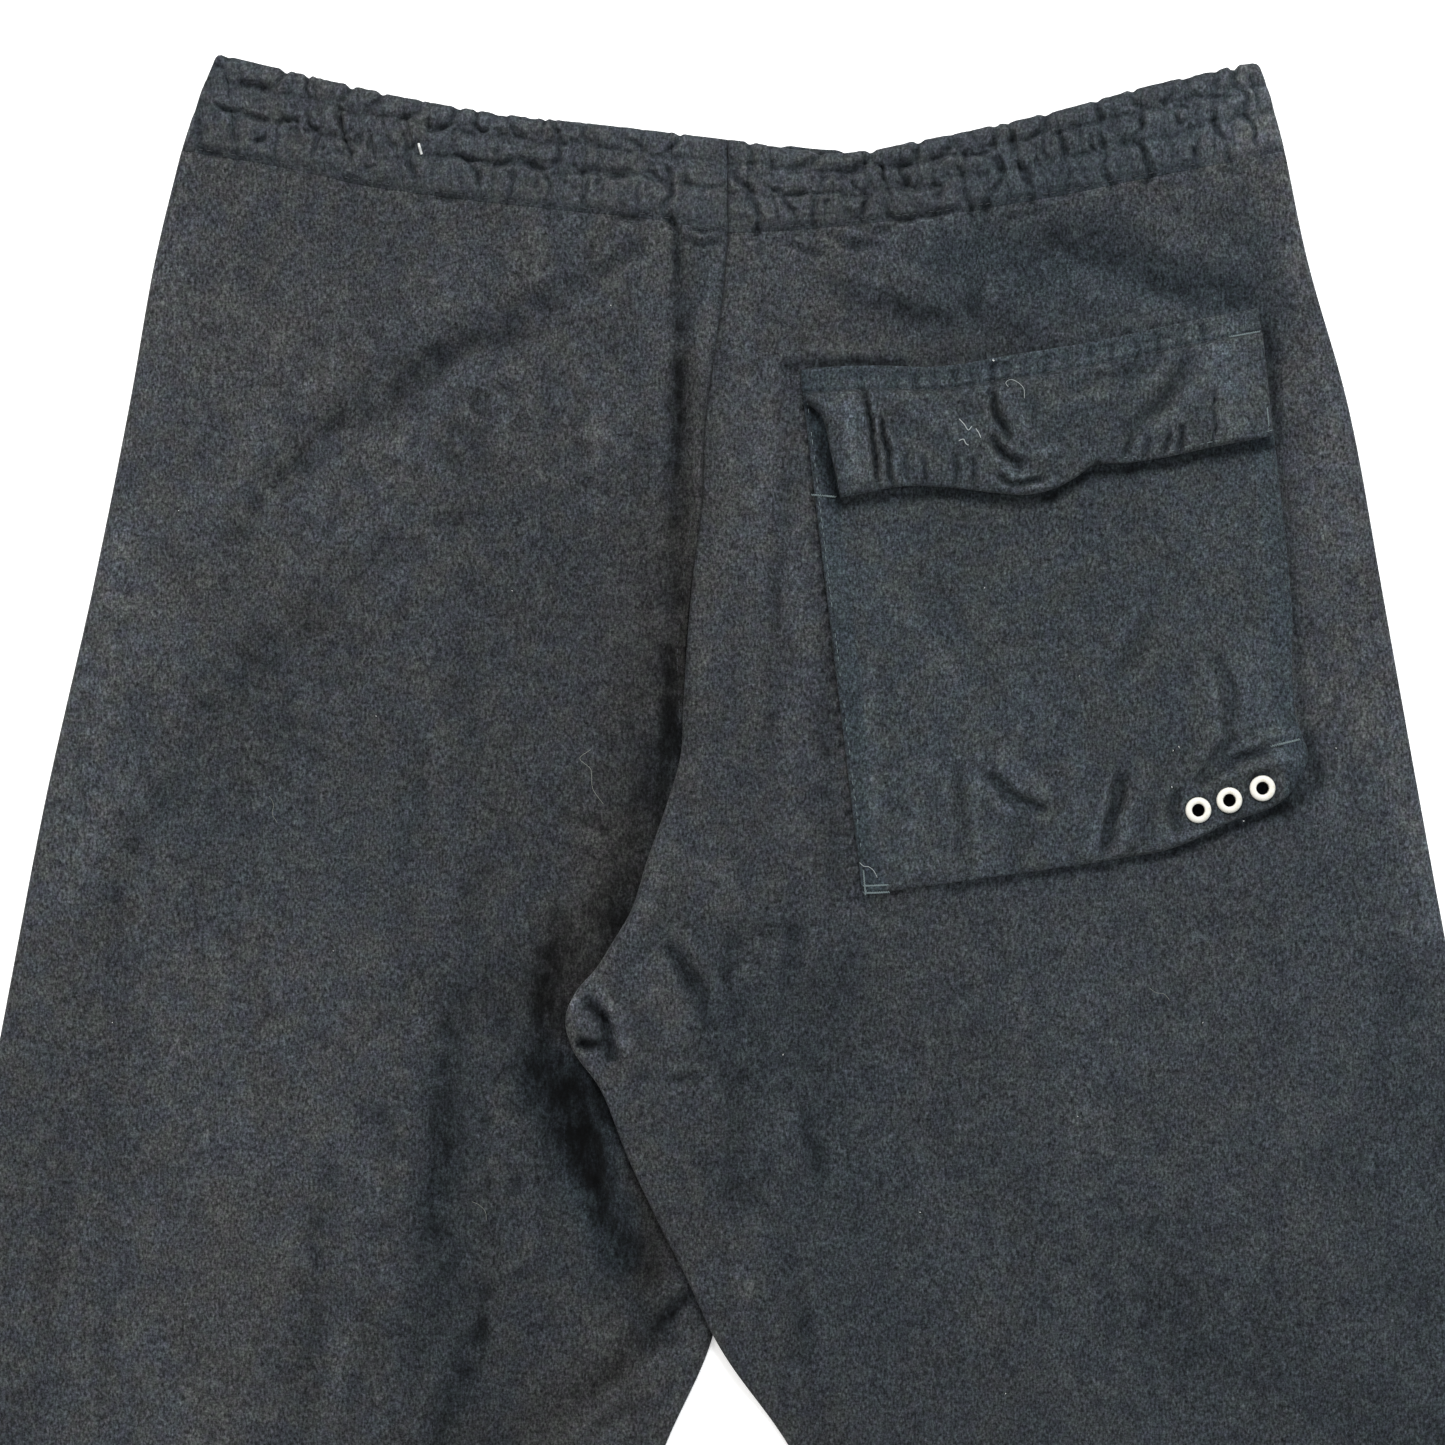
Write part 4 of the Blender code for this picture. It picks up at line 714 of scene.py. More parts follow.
# Patch pocket on the right back: across, down
POCKET_TOP = ((28.1, 97.4), (80, 96), (104, 92.2), (140, 86.2), (200.2, 74.2))
POCKET_LEFT = ((28.1, 97.4), (32.6, 135), (50.3, 283.1))
POCKET_RIGHT = ((200.2, 74.2), (205.1, 116.2), (211, 172), (214.6, 222), (216.8, 228), (217.4, 240.5))
POCKET_BOTTOM = (
    (50.3, 283.1), (86, 278.2), (112, 274.6), (146, 269.4), (166, 265.6), (176, 261.6), (186, 256.4),
    (204, 250.0), (217.4, 240.5),
)
POCKET_SIZE = (170.0, 187.0)
POCKET_CELL = (1.0, 0.9)
POCKET_CORNER = 13.0
POCKET_EASE = 1.2
POCKET_FULLER = 1.9
POCKET_SINKS = 0.2
LOWEST_IN_POCKET = -1.6
# Its side edges are turned in by this much, and the back lies smooth under it
POCKET_HEM = (8.0, 10.0)
SMOOTH_UNDER_POCKET = (-3.0, 1.0)
# Where its folds start below the flap, and to the left of the flap, where they are fainter
BELOW_FLAP = (1.0, 8.0)
BESIDE_FLAP = (-3.0, -6.0)
FREE_BESIDE_FLAP = 0.6
POCKET_FOLDS = (
    Fold((66, 160), (84, 184), (108, 220), 6.0, -1.3),
    Fold((97, 236), (105, 246), (120, 251.5), 2.2, -2.4),
    Fold((100, 228), (112, 240), (126, 246), 5.0, 1.1),
    Fold((86, 232), (87, 254), (90, 280), 2.6, -1.1),
    Fold((70, 232), (72, 256), (76, 278), 9.0, 1.1),
    Fold((52, 190), (54, 236), (58, 280), 4.0, 0.9),
    Fold((160, 178), (152, 192), (143, 204), 3.6, -1.2),
    Fold((134, 150), (130, 176), (120, 200), 10.0, -0.7),
    Fold((182, 194), (187.5, 208), (187, 224), 2.6, -2.1),
    Fold((190, 222), (184, 230), (177, 240), 2.6, -2.0),
    Fold((192, 186), (198, 204), (200, 222), 5.0, 0.8),
    Fold((148, 236), (144.5, 252), (139, 270), 2.2, -2.5),
    Fold((168, 242), (167, 252), (168, 262), 2.4, -1.6),
    Fold((158, 232), (153, 250), (146, 268), 4.0, 1.5),
    Fold((134, 262), (142, 268), (150, 266), 4.0, 1.0),
    Fold((126, 220), (130, 240), (132, 262), 6.0, 0.9),
    Fold((108, 244), (110, 262), (106, 276), 5.0, -0.8),
    Fold((174, 243), (186, 234.5), (204, 228.5), 2.2, -2.1),
    Fold((190, 238), (202, 233), (216, 232), 3.6, 1.5),
    Fold((152, 268), (178, 259), (212, 243), 4.0, 1.5),
    Fold((202, 224), (208, 222.5), (213, 222), 2.0, 0.9),
    Fold((60, 150), (110, 146), (170, 140), 9.0, -0.6),
)
# The pocket's flap: across, down
FLAP_TOP = ((27, 86), (40, 85), (53, 84.6), (80, 84.8), (104, 81), (140, 75), (170, 68.6), (198.8, 63))
FLAP_LEFT = ((27, 86), (28.6, 97.6), (34.6, 103.5), (38.4, 118), (42, 134.5))
FLAP_RIGHT = ((198.8, 63), (201.2, 85), (203.4, 111.4))
FLAP_BOTTOM = (
    (42, 134.5), (53, 132.4), (62, 130.6), (82, 130.6), (100, 132.7), (112, 133.4), (122, 131),
    (129, 127.4), (136, 122.8), (150, 121.4), (162, 119.6), (180, 115.8), (203.4, 111.4),
)
FLAP_SIZE = (174.0, 49.0)
FLAP_CELL = (0.6, 0.6)
FLAP_CORNER = 2.5
FLAP_FULLER = 1.3
FLAP_SINKS = 0.1
LOWEST_IN_FLAP = -3.2
# How far below its top edge it steps up on the pocket, lifts, starts to fold and is eased
FLAP_STEP = (5.5, 10.0)
FLAP_LIFTS = (22.0, 46.0)
FLAP_LIFT = 2.2
FLAP_FOLDS_START = (2.0, 9.0)
FLAP_EASES = (4.0, 14.0)
FLAP_EASE = 1.6
FLAP_FOLDS = (
    Fold((30, 96), (37, 100.5), (41, 108), 2.0, 1.2),
    Fold((43, 95), (45.5, 114), (48, 133), 4.2, 2.0),
    Fold((50.8, 93.5), (53.8, 110), (56, 132), 1.2, -3.0),
    Fold((56.5, 103), (59.5, 118), (61.3, 132), 1.1, -2.6),
    Fold((60, 94.5), (76, 104), (95, 115), 5.5, 2.4),
    Fold((62, 110), (72, 118), (84, 124), 6.0, 0.9),
    Fold((97.5, 94), (100.5, 104), (105.5, 113.5), 1.6, -2.6),
    Fold((97, 111), (103.5, 118.5), (111, 124), 1.9, -3.0),
    Fold((103.5, 94), (109, 107), (116, 119.5), 3.6, 2.6),
    Fold((112, 122), (118, 119), (124, 113), 3.0, 1.6),
    Fold((98, 125), (107, 129.6), (119, 127.6), 1.3, -1.7),
    Fold((98, 128), (110, 132), (124, 128), 1.6, 1.2),
    Fold((174, 76), (167, 92), (144, 114), 3.6, -2.4),
    Fold((152, 84), (147, 96), (138, 106), 6.0, -1.0),
    Fold((126, 93), (146, 88), (164, 81), 3.4, -1.4),
    Fold((114, 101), (132, 99), (150, 92), 6.0, 1.3),
    Fold((185, 76), (186, 98), (188, 114), 9.0, 2.0),
    Fold((180.6, 92), (181.2, 104), (180.8, 116), 0.8, -1.3),
    Fold((158, 112), (166, 104), (174, 92), 5.0, 1.2),
    Fold((66, 130), (66, 124), (67, 116), 1.1, -1.1),
    Fold((73, 130.5), (73.5, 124), (73, 118), 1.1, -1.1),
    Fold((84, 131), (85, 124), (84, 117), 1.3, -1.2),
    Fold((91.5, 132), (92, 126), (91, 119), 1.3, -1.2),
    Fold((146.5, 121), (149, 116), (151, 110), 1.5, -1.5),
    Fold((155, 120.6), (156, 116), (157, 111), 1.3, -1.3),
    Fold((162.5, 119.5), (163.5, 114), (164, 109), 1.2, -1.3),
    Fold((168.3, 118.5), (169, 113), (169, 107), 1.4, -1.7),
    Fold((133, 126.5), (136.5, 123.5), (139.5, 119.5), 1.6, -1.9),
)
# The flap's top strip ends in a row of stitches this far down, in a groove of this width and depth
FLAP_STRIP = 8.7
STRIP_GROOVE = (1.2, 1.3)
# Its stitches draw the strip in here and there: across, depth
STRIP_PUCKERS = (
    (50, 1.0), (63, 0.8), (70, 1.0), (77, 0.8), (85, 1.4), (91, 1.0), (99, 1.6), (104, 1.0), (111, 0.8),
    (119, 1.0), (127, 0.8), (136, 1.0), (144, 0.8), (153, 1.0), (161, 1.0), (170, 0.8), (178, 1.0),
)
STRIP_PUCKER_WIDTH = 1.6
STRIP_STARTS = (1.0, 3.0)
STRIP_ENDS = (9.0, 14.0)

# Eyelets through the pocket's lower right corner: centre across, centre down
EYELETS = ((175.9, 251.2), (187.5, 247.5), (199.9, 243.0))
EYELET_FLAT = (5.2, 8.0)
EYELET_STEPS = 48
# The hole in the cloth, under the ring
HOLE_RADIUS = 3.55
# The back under them gets painted shade, where no light reaches: radius of the dark, radius where it ends,
# tone
SHADE_UNDER_HOLE = (3.5, 5.0, 0.12)
# Section of the turned ring, down its outer side and up its bore: radius, height above the cloth
EYELET_SECTION = (
    (2.45, 0.95), (2.62, 1.12), (3.05, 1.28), (3.55, 1.30), (4.05, 1.20), (4.48, 0.97), (4.76, 0.66),
    (4.86, 0.30), (2.95, 0.25), (2.95, -1.35), (2.45, -1.35),
)

# Dense bars of thread that hold the pocket's and the flap's corners: carrying piece, start, end, width
Tack = namedtuple("Tack", "on start end width")
TACKS = (
    Tack("flap", (187.6, 74.2), (199.0, 72.2), 0.9),
    Tack("pocket", (31.2, 133.2), (40.4, 133.9), 0.8),
    Tack("pocket", (50.6, 279.6), (60.2, 279.2), 0.8),
    Tack("pocket", (50.8, 282.3), (60.4, 281.9), 0.8),
    Tack("pocket", (51.4, 283.0), (50.6, 273.6), 0.6),
    Tack("pocket", (203.0, 227.4), (214.0, 224.7), 1.0),
    Tack("flap", (201.6, 108.0), (201.0, 101.0), 0.5),
)
TACK_PITCH = 0.42
TACK_SLANT = 0.35
TACK_RISE = 0.05
TACK_BARS = 3
TACK_BAR_SPREAD = 0.4
THREAD_THICKNESS = 0.3
# One stitch: a thread that rises out of the cloth and goes back in. Columns: share along, height as a
# share of the thread's thickness, half width as a share of it
STITCH = ((-0.5, -0.5, 0.25), (-0.36, 0.05, 0.42), (0.0, 0.32, 0.5), (0.36, 0.05, 0.42), (0.5, -0.5, 0.25))
STITCH_SIDES = 6
# How far stitches stray sideways and in height
STITCH_STRAYS = 0.08
STITCH_RISES = 0.05

# Loose threads. Columns: carrying piece, thickness, finish, points
Thread = namedtuple("Thread", "on thickness finish points")
THREADS = (
    Thread("panel", 1.0, "lint_white", ((-115.9, 1.6), (-115.4, 3.6), (-114.9, 5.4))),
    Thread("flap", 0.34, "lint_pale", ((86.2, 105.2), (88, 107.2), (89.6, 109.4), (90.8, 108.0))),
    Thread("flap", 0.36, "lint_pale", ((92.4, 108.8), (93.6, 110.6), (94.2, 112.2))),
    Thread("flap", 0.36, "lint_pale", ((86.0, 113.4), (87.6, 112.8), (88.8, 114.6), (89.6, 115.0))),
    Thread(
        "flap",
        0.2,
        "lint_pale",
        ((104.6, 93.0), (103.8, 91.4), (105.2, 90.2), (108, 91.2), (110.4, 93.8), (110.6, 97.4)),
    ),
    Thread("flap", 0.5, "lint_white", ((99.0, 82.6), (99.6, 83.0))),
    Thread(
        "pocket",
        0.22,
        "lint_pale",
        ((49.2, 270.8), (50.8, 272.2), (52.6, 272.4), (54.2, 273.6), (55.8, 276.4)),
    ),
    Thread(
        "panel",
        0.18,
        "lint_dull",
        (
            (-51.8, 228.8), (-55.6, 231.8), (-51.4, 236.2), (-51.2, 240), (-50.8, 243.2), (-48.8, 246.4),
            (-46.8, 249),
        ),
    ),
    Thread("panel", 0.14, "lint_dull", ((-172, 246), (-170.4, 249), (-170.8, 252.6), (-169, 256))),
    Thread("panel", 0.14, "lint_dull", ((158, 318), (160.6, 319.8), (163.4, 320.2), (165.8, 322.8))),
    Thread("panel", 0.14, "lint_dull", ((-96, 398), (-93.4, 399.2), (-91, 401.8), (-90.6, 405))),
)
# Specks of lint: carrying piece, across, down, size
SPECKS = (
    ("panel", -132.0, 216.0, 0.30), ("panel", -81.0, 169.0, 0.26), ("panel", -206.0, 139.0, 0.24),
    ("panel", 20.6, 343.0, 0.34), ("panel", 72.0, 402.0, 0.28), ("panel", 131.0, 366.0, 0.26),
    ("panel", 178.0, 331.0, 0.24), ("panel", -148.0, 304.0, 0.26), ("panel", -231.0, 331.0, 0.24),
    ("panel", 228.0, 228.0, 0.28), ("pocket", 168.6, 227.6, 0.44), ("pocket", 166.4, 228.9, 0.3),
    ("pocket", 166.0, 242.6, 0.34), ("pocket", 96.0, 168.0, 0.26), ("pocket", 131.4, 201.0, 0.24),
    ("pocket", 192.6, 255.2, 0.32), ("panel", -44.0, 62.0, 0.26), ("panel", 104.0, 470.0, 0.3),
)
SPECK_RISE = 0.1
# The finish of each piece that stitches lie on; stitches() is given it but doesn't use it
SLOTS = {"panel": "wool_flannel", "pocket": "pocket_flannel", "flap": "pocket_flannel"}


def smooth_step(low, high, value):
    share = np.clip((np.asarray(value, float) - low) / (high - low), 0.0, 1.0)
    return share * share * (3 - 2 * share)


def curve_through(rows, shares):
    """Points on a smooth curve through the rows, at these shares of its length."""
    rows = np.array(rows, float)
    shares = np.asarray(shares, float)
    lengths = np.linalg.norm(np.diff(rows, axis=0), axis=1)
    knots = np.concatenate([[0.0], np.cumsum(lengths)]) / lengths.sum()
    slopes = np.gradient(rows, knots, axis=0)
    at = np.clip(np.searchsorted(knots, shares, side="right") - 1, 0, len(rows) - 2)
    span = (knots[at + 1] - knots[at])[..., None]
    t = (shares - knots[at])[..., None] / span
    start = (1 + 2 * t) * (1 - t) ** 2 * rows[at] + t * (1 - t) ** 2 * span * slopes[at]
    end = t * t * (3 - 2 * t) * rows[at + 1] + t * t * (t - 1) * span * slopes[at + 1]
    return start + end


def moved(rows, across=0.0, down=0.0):
    return tuple((a + across, d + down) for a, d in rows)


def across_at(rows, down):
    """How far across an edge lies at this distance down, for an edge that always runs down."""
    dense = curve_through(rows, np.linspace(0, 1, EDGE_STEPS))
    return np.interp(down, dense[:, 1], dense[:, 0])


def down_at(rows, across):
    """How far down an edge lies at this distance across, for an edge that always runs across."""
    dense = curve_through(rows, np.linspace(0, 1, EDGE_STEPS))
    return np.interp(across, dense[:, 0], dense[:, 1])


def patch(outline, u, v):
    """Points of the patch that four edge curves bound. u runs from left to right, v from top to
    bottom, both from 0 to 1."""
    top, bottom, left, right = outline
    upper, lower = curve_through(top, u), curve_through(bottom, u)
    side_a, side_b = curve_through(left, v), curve_through(right, v)
    u, v = u[:, None], v[:, None]
    ruled_down = (1 - v) * upper + v * lower
    ruled_across = (1 - u) * side_a + u * side_b
    corners_a = (1 - v) * np.array(left[0]) + v * np.array(left[-1])
    corners_b = (1 - v) * np.array(right[0]) + v * np.array(right[-1])
    return ruled_down + ruled_across - (1 - u) * corners_a - u * corners_b


# One half of the trousers. inwards is 1 where inwards is towards the right, and -1 where it is left
Half = namedtuple(
    "Half",
    "name inwards wave_seed waist top_edge side back_inner front_inner inner_rolls folds creases tones dyes",
)
LEFT = Half(
    name="left",
    inwards=1,
    wave_seed=4,
    waist=WAIST_SEAM_LEFT,
    top_edge=WAIST_TOP_LEFT,
    side=SIDE_LEFT,
    back_inner=moved(CENTRE_BACK, -GAP / 2) + BACK_LEFT_INNER,
    front_inner=moved(CENTRE_FRONT, -GAP / 2)
    + FRONT_LEFT_CROTCH
    + moved(BACK_LEFT_INNER[-FOLLOWING_ROWS_LEFT:], -FRONT_INNER_INSET),
    inner_rolls=LEFT_INNER_ROLLS,
    folds=LEFT_FOLDS,
    creases=CREASES_LEFT,
    tones=LEFT_LIGHT_AND_SHADE,
    dyes=LEFT_DYES,
)
RIGHT = Half(
    name="right",
    inwards=-1,
    wave_seed=5,
    waist=WAIST_SEAM_RIGHT,
    top_edge=WAIST_TOP_RIGHT,
    side=SIDE_RIGHT,
    back_inner=moved(CENTRE_BACK, GAP / 2) + BACK_RIGHT_INNER,
    front_inner=moved(CENTRE_FRONT, GAP / 2)
    + FRONT_RIGHT_CROTCH
    + moved(BACK_RIGHT_INNER[-FOLLOWING_ROWS_RIGHT:], FRONT_INNER_INSET),
    inner_rolls=RIGHT_INNER_ROLLS,
    folds=RIGHT_FOLDS,
    creases=CREASES_RIGHT,
    tones=RIGHT_LIGHT_AND_SHADE,
    dyes=RIGHT_DYES,
)
HALVES = (LEFT, RIGHT)

# Rows of machine stitches. Columns: name, carrying piece, path, stitch, gap, thread's thickness,
# finish, how deep they sink, share of them that the nap hides
StitchRow = namedtuple("StitchRow", "name on path stitch gap thickness finish sunk hidden")
STITCH_ROWS = (
    StitchRow(
        "flap_strip_stitches", "flap", moved(FLAP_TOP[2:], 0, FLAP_STRIP),
        2.1, 0.9, 0.34, "sewing_thread", 0.12, 0.15,
    ),
    StitchRow(
        "pocket_left_stitches", "pocket", moved(POCKET_LEFT, 1.5),
        2.0, 0.9, 0.3, "tack_thread", 0.14, 0.3,
    ),
    StitchRow(
        "pocket_right_stitches", "pocket", moved(POCKET_RIGHT[1:4], -1.7),
        2.0, 0.9, 0.3, "sewing_thread", 0.1, 0.3,
    ),
    StitchRow(
        "pocket_bottom_stitches", "pocket", moved(POCKET_BOTTOM[:5], 0, -1.8),
        2.0, 0.9, 0.3, "sewing_thread", 0.1, 0.3,
    ),
    StitchRow(
        "flap_hem_stitches", "flap", moved(FLAP_BOTTOM[8:], 0, -2.0),
        2.0, 0.9, 0.28, "tack_thread", 0.16, 0.5,
    ),
    StitchRow(
        "seat_seam_stitches", "panel", moved(CENTRE_BACK[1:] + BACK_LEFT_INNER[:1], -3.4),
        2.2, 1.0, 0.3, "sewing_thread", 0.12, 0.25,
    ),
    *(
        StitchRow(
            "casing_hem_stitches_" + half.name, "panel", moved(half.waist, 0, -1.6),
            1.9, 1.2, 0.3, "sewing_thread", 0.25, 0.35,
        )
        for half in HALVES
    ),
)


def mirrored(half, outer, inner):
    """The pair in the order left, right. Given a left and a right one, the order outer, inner."""
    return (outer, inner) if half is LEFT else (inner, outer)


def wandered(points, wander):
    """The points, moved a little to and fro, so that what is laid by them isn't ruler-straight."""
    moves = np.zeros(points.shape)
    chance = np.random.default_rng(21)
    for length, distance in wander:
        for _ in range(WANDER_WAVES):
            turn, phase, aside = chance.uniform(0, 2 * np.pi, 3)
            along = points @ np.array([np.cos(turn), np.sin(turn)]) / (length * chance.uniform(0.7, 1.4))
            swing = distance / WANDER_WAVES**0.5 * 1.4 * np.sin(2 * np.pi * along + phase)
            moves += swing[:, None] * np.array([np.cos(aside), np.sin(aside)])
    return points + moves


def path_of(line):
    """Points along a fold or a stroke."""
    return curve_through((line.start, line.middle, line.end), np.linspace(0, 1, FOLD_STEPS))


def fold_relief(points, folds, wander, widen=1.0):
    """How far the folds raise the cloth at these points. Beside a trough the cloth stands up."""
    points = wandered(points, wander)
    relief = np.zeros(len(points))
    place, reach, raised = SHOULDER
    for fold in folds:
        half_width = fold.half_width * widen
        path = path_of(fold)
        margin = 4 * half_width
        low, high = path.min(axis=0) - margin, path.max(axis=0) + margin
        near = np.flatnonzero(((points > low) & (points < high)).all(axis=1))
        if not len(near):
            continue
        away = np.linalg.norm(points[near, None] - path[None], axis=2)
        nearest = away.argmin(axis=1)
        fade = np.sin(np.pi * nearest / (FOLD_STEPS - 1)) ** 0.6
        away = away.min(axis=1) / half_width
        profile = np.exp(-(away**2))
        if fold.height < 0:
            profile -= raised * np.exp(-(((away - place) / reach) ** 2))
        relief[near] += fold.height * fade * profile
    return relief


def strokes_at(points, strokes):
    """How strongly the strokes lie at these points: nought where none lies."""
    change = np.zeros(len(points))
    strayed = wandered(points, TONE_WANDER)
    for stroke in strokes:
        laid = strayed if stroke.half_width > SHARP_TONE else points
        away = np.full(len(points), np.inf)
        for spot in path_of(stroke):
            away = np.minimum(away, np.hypot(*(laid - spot).T))
        change += stroke.strength * np.exp(-((away / stroke.half_width) ** 2))
    return change


def painted_light_at(points, strokes):
    """How much painted light or shade the strokes lay at these points: 1 where no stroke lies."""
    return np.exp(strokes_at(points, strokes))


def waves(points, seed, table=WAVES, spread=np.pi):
    """Soft unevenness of cloth that lies on cloth, from waves in many directions."""
    chance = np.random.default_rng(seed)
    relief = np.zeros(len(points))
    for length, height in table:
        for _ in range(WAVES_OF_A_LENGTH):
            turn, phase = chance.uniform(-spread, spread), chance.uniform(0, 2 * np.pi)
            stretch = chance.uniform(0.7, 1.4)
            along = points @ np.array([np.cos(turn), np.sin(turn)]) / (length * stretch)
            relief += height / WAVES_OF_A_LENGTH**0.5 * np.sin(2 * np.pi * along + phase)
    return relief


def varied(points, uneven):
    """A strength that changes from place to place."""
    return np.clip(uneven.mean + waves(points, uneven.seed, uneven.table), uneven.lowest, uneven.highest)


def softened(values, reach, axis):
    """Each value's mean with its neighbours along one axis of a grid."""
    values = np.moveaxis(values, axis, 0)
    first, last = values[:1], values[-1:]
    padded = np.concatenate([np.repeat(first, reach + 1, 0), values, np.repeat(last, reach, 0)])
    total = np.cumsum(padded, axis=0)
    mean = (total[2 * reach + 1 :] - total[: -2 * reach - 1]) / (2 * reach + 1)
    return np.moveaxis(mean, 0, axis)


def hollow_shade_and_crest_light(relief, cell, hollows):
    """Painted shade and highlight over a grid: darker in the relief's hollows, and lighter on its crests."""
    shade = np.ones(relief.shape)
    for distance, strength in hollows:
        around = relief
        for axis in (0, 1):
            reach = max(1, round(distance / 2 / cell[axis]))
            around = softened(softened(around, reach, axis), reach, axis)
        shade *= np.exp(strength * np.clip(relief - around, *HOLLOW_RANGE))
    return np.clip(shade, *SHADE_RANGE)


def leg_lift(points, half, starts):
    """How high a leg lies for crossing the other one. Only the right leg does."""
    if half is LEFT:
        return np.zeros(len(points))
    past_edge = points[:, 0] - across_at(LEFT.back_inner, points[:, 1])
    beside = 1 - smooth_step(*LIFT_FROM_EDGE, past_edge)
    return LEG_LIFT * beside * smooth_step(*starts, points[:, 1])


def pressed_by_right_leg(points):
    """1 where the right leg lies on the left back, and 0 clear of it."""
    before_edge = across_at(RIGHT.back_inner, points[:, 1]) - points[:, 0]
    beside = 1 - smooth_step(*PRESS_RUN, before_edge)
    return beside * smooth_step(*LEFT_PRESSED, points[:, 1])


def under_pocket(points):
    """1 under the pocket and its flap, where the back lies smooth, and 0 clear of them."""
    inside = np.minimum.reduce(
        [
            points[:, 0] - across_at(POCKET_LEFT, points[:, 1]),
            across_at(POCKET_RIGHT, points[:, 1]) - points[:, 0],
            points[:, 1] - down_at(FLAP_TOP, points[:, 0]),
            down_at(POCKET_BOTTOM, points[:, 0]) - points[:, 1],
        ]
    )
    return smooth_step(*SMOOTH_UNDER_POCKET, inside)


def puckers(points, from_waist):
    """Gathers that run on below the waist seam and fade out."""
    dip = np.zeros(len(points))
    for across, depth, lean in PUCKERS:
        aside = points[:, 0] - across - lean * from_waist / PUCKER_REACH
        dip += depth * np.exp(-((aside / PUCKER_WIDTH) ** 2))
    return -dip * np.exp(-from_waist / PUCKER_REACH)


def back_relief(points, half):
    """Relief of a back panel's folds, clear of its seams."""
    fullness = PANEL_FULLER * varied(points, FOLD_STRENGTH)
    relief = fullness * fold_relief(points, half.folds, PANEL_WANDER) + waves(points, half.wave_seed)
    from_seam = np.abs(points[:, 0] - across_at(half.back_inner, points[:, 1]))
    from_seam = np.where(points[:, 1] < CALM_SEAM_ENDS, from_seam, np.inf)
    from_waist = np.clip(points[:, 1] - down_at(half.waist, points[:, 0]), 0, None)
    for away in (from_seam, from_waist):
        relief *= smooth_step(-FOLD_CALM_AT_SEAM / 2, FOLD_CALM_AT_SEAM, away)
    relief += fold_relief(points, half.creases, CREASE_WANDER, CREASE_WIDEN)
    relief += puckers(points, from_waist)
    if half is RIGHT:
        relief *= 1 - under_pocket(points)
    return relief


def back_height(points, half):
    """Height of a back panel before its edges turn down, and the relief in it."""
    relief = np.maximum(back_relief(points, half), LOWEST_BACK - BACK_TOP)
    if half is LEFT:
        pressed = pressed_by_right_leg(points)
        relief = relief * (1 - pressed) + (PRESSED_TOP - BACK_TOP) * pressed
    return BACK_TOP + relief + leg_lift(points, half, BACK_LIFTS), relief


def spaced(start, end, step):
    """Even stations from start to end, about a step apart, without the two ends."""
    return np.linspace(start, end, max(2, round((end - start) / step)) + 1)[1:-1]


def edge_to_edge(width, step, left=EDGE, right=EDGE):
    """Columns across a piece, as shares of its width, and how its left and right edge turn them."""
    near = [row.inwards for row in left]
    far = [width - row.inwards for row in reversed(right)]
    between = spaced(near[-1], far[0], step)
    blank = [(0.0, 0.0)]
    from_left = [row[1:] for row in left] + blank * (len(between) + len(far))
    from_right = blank * (len(near) + len(between)) + [row[1:] for row in reversed(right)]
    places = np.concatenate([near, between, far]) / width
    return places, Turn(*np.array(from_left).T), Turn(*np.array(from_right).T)


def in_metres(points, heights):
    across = (points[:, 0] - ORIGIN_ACROSS) * MM
    up = (ORIGIN_DOWN - points[:, 1]) * MM
    return np.stack([across, up, np.broadcast_to(heights, len(points)) * MM], axis=1)


FINISHES = {}


def add_piece(name, shape, finish):
    """A piece of the trousers, from a mesh or a curve."""
    thing = bpy.data.objects.new(name, shape)
    bpy.context.scene.collection.objects.link(thing)
    shape.materials.append(FINISHES[finish])
    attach(thing, "root")
    return thing


def grid_piece(name, across, down, place, finish, cell, hollows):
    """A sheet of cloth: a plane of cells, a column for each share across and a row for each share
    down. place() gets the corners' columns and rows, and gives their places on the cloth, their
    heights, their relief, their painted light and shade, and how much of the cool dye they show."""
    columns, rows = len(across), len(down)
    mesh = bpy.data.meshes.new(name)
    sheet = bmesh.new()
    sheet.loops.layers.uv.new("cut")
    bmesh.ops.create_grid(sheet, x_segments=columns - 1, y_segments=rows - 1, size=0.5, calc_uvs=True)
    sheet.to_mesh(mesh)
    sheet.free()
    spots = np.empty(len(mesh.vertices) * 3)
    mesh.vertices.foreach_get("co", spots)
    share = spots.reshape(-1, 3)[:, :2] + 0.5
    column = np.rint(share[:, 0] * (columns - 1)).astype(int)
    row = np.rint((1 - share[:, 1]) * (rows - 1)).astype(int)
    row_of, column_of = np.divmod(np.arange(rows * columns), columns)
    points, heights, relief, light, dye = place(column_of, row_of)
    # Painted shade in the relief's hollows and highlight on its crests, times the painted light and shade of
    # place()
    shade = hollow_shade_and_crest_light(relief.reshape(rows, columns), cell, hollows).ravel() * light
    order = row * columns + column
    mesh.vertices.foreach_set("co", in_metres(points[order], heights[order]).ravel())
    for attribute, values in (("shade", shade), ("dye", np.broadcast_to(dye, len(order)))):
        layer = mesh.attributes.new(attribute, "FLOAT", "POINT")
        layer.data.foreach_set("value", values[order].astype(np.float32))
    mesh.update()
    mesh.shade_smooth()
    return add_piece(name, mesh, finish)


def waist_drop(points, drops, row):
    """How far each row drops, with the waist seam sinking more here and less there."""
    along = np.stack([points[:, 0], np.zeros(len(points))], axis=1)
    return drops[row] * np.where(row < len(WAIST_TUCK), varied(along, TUCK_DEPTH), 1.0)


def seam_shade(seam_drop, sewn=1.0):
    """How much painted shade darkens the cloth where it dips into a seam: 1 clear of it."""
    return 1 - np.clip(seam_drop / SEAM_DEPTH, 0, 1) * sewn * SEAM_DARKENING


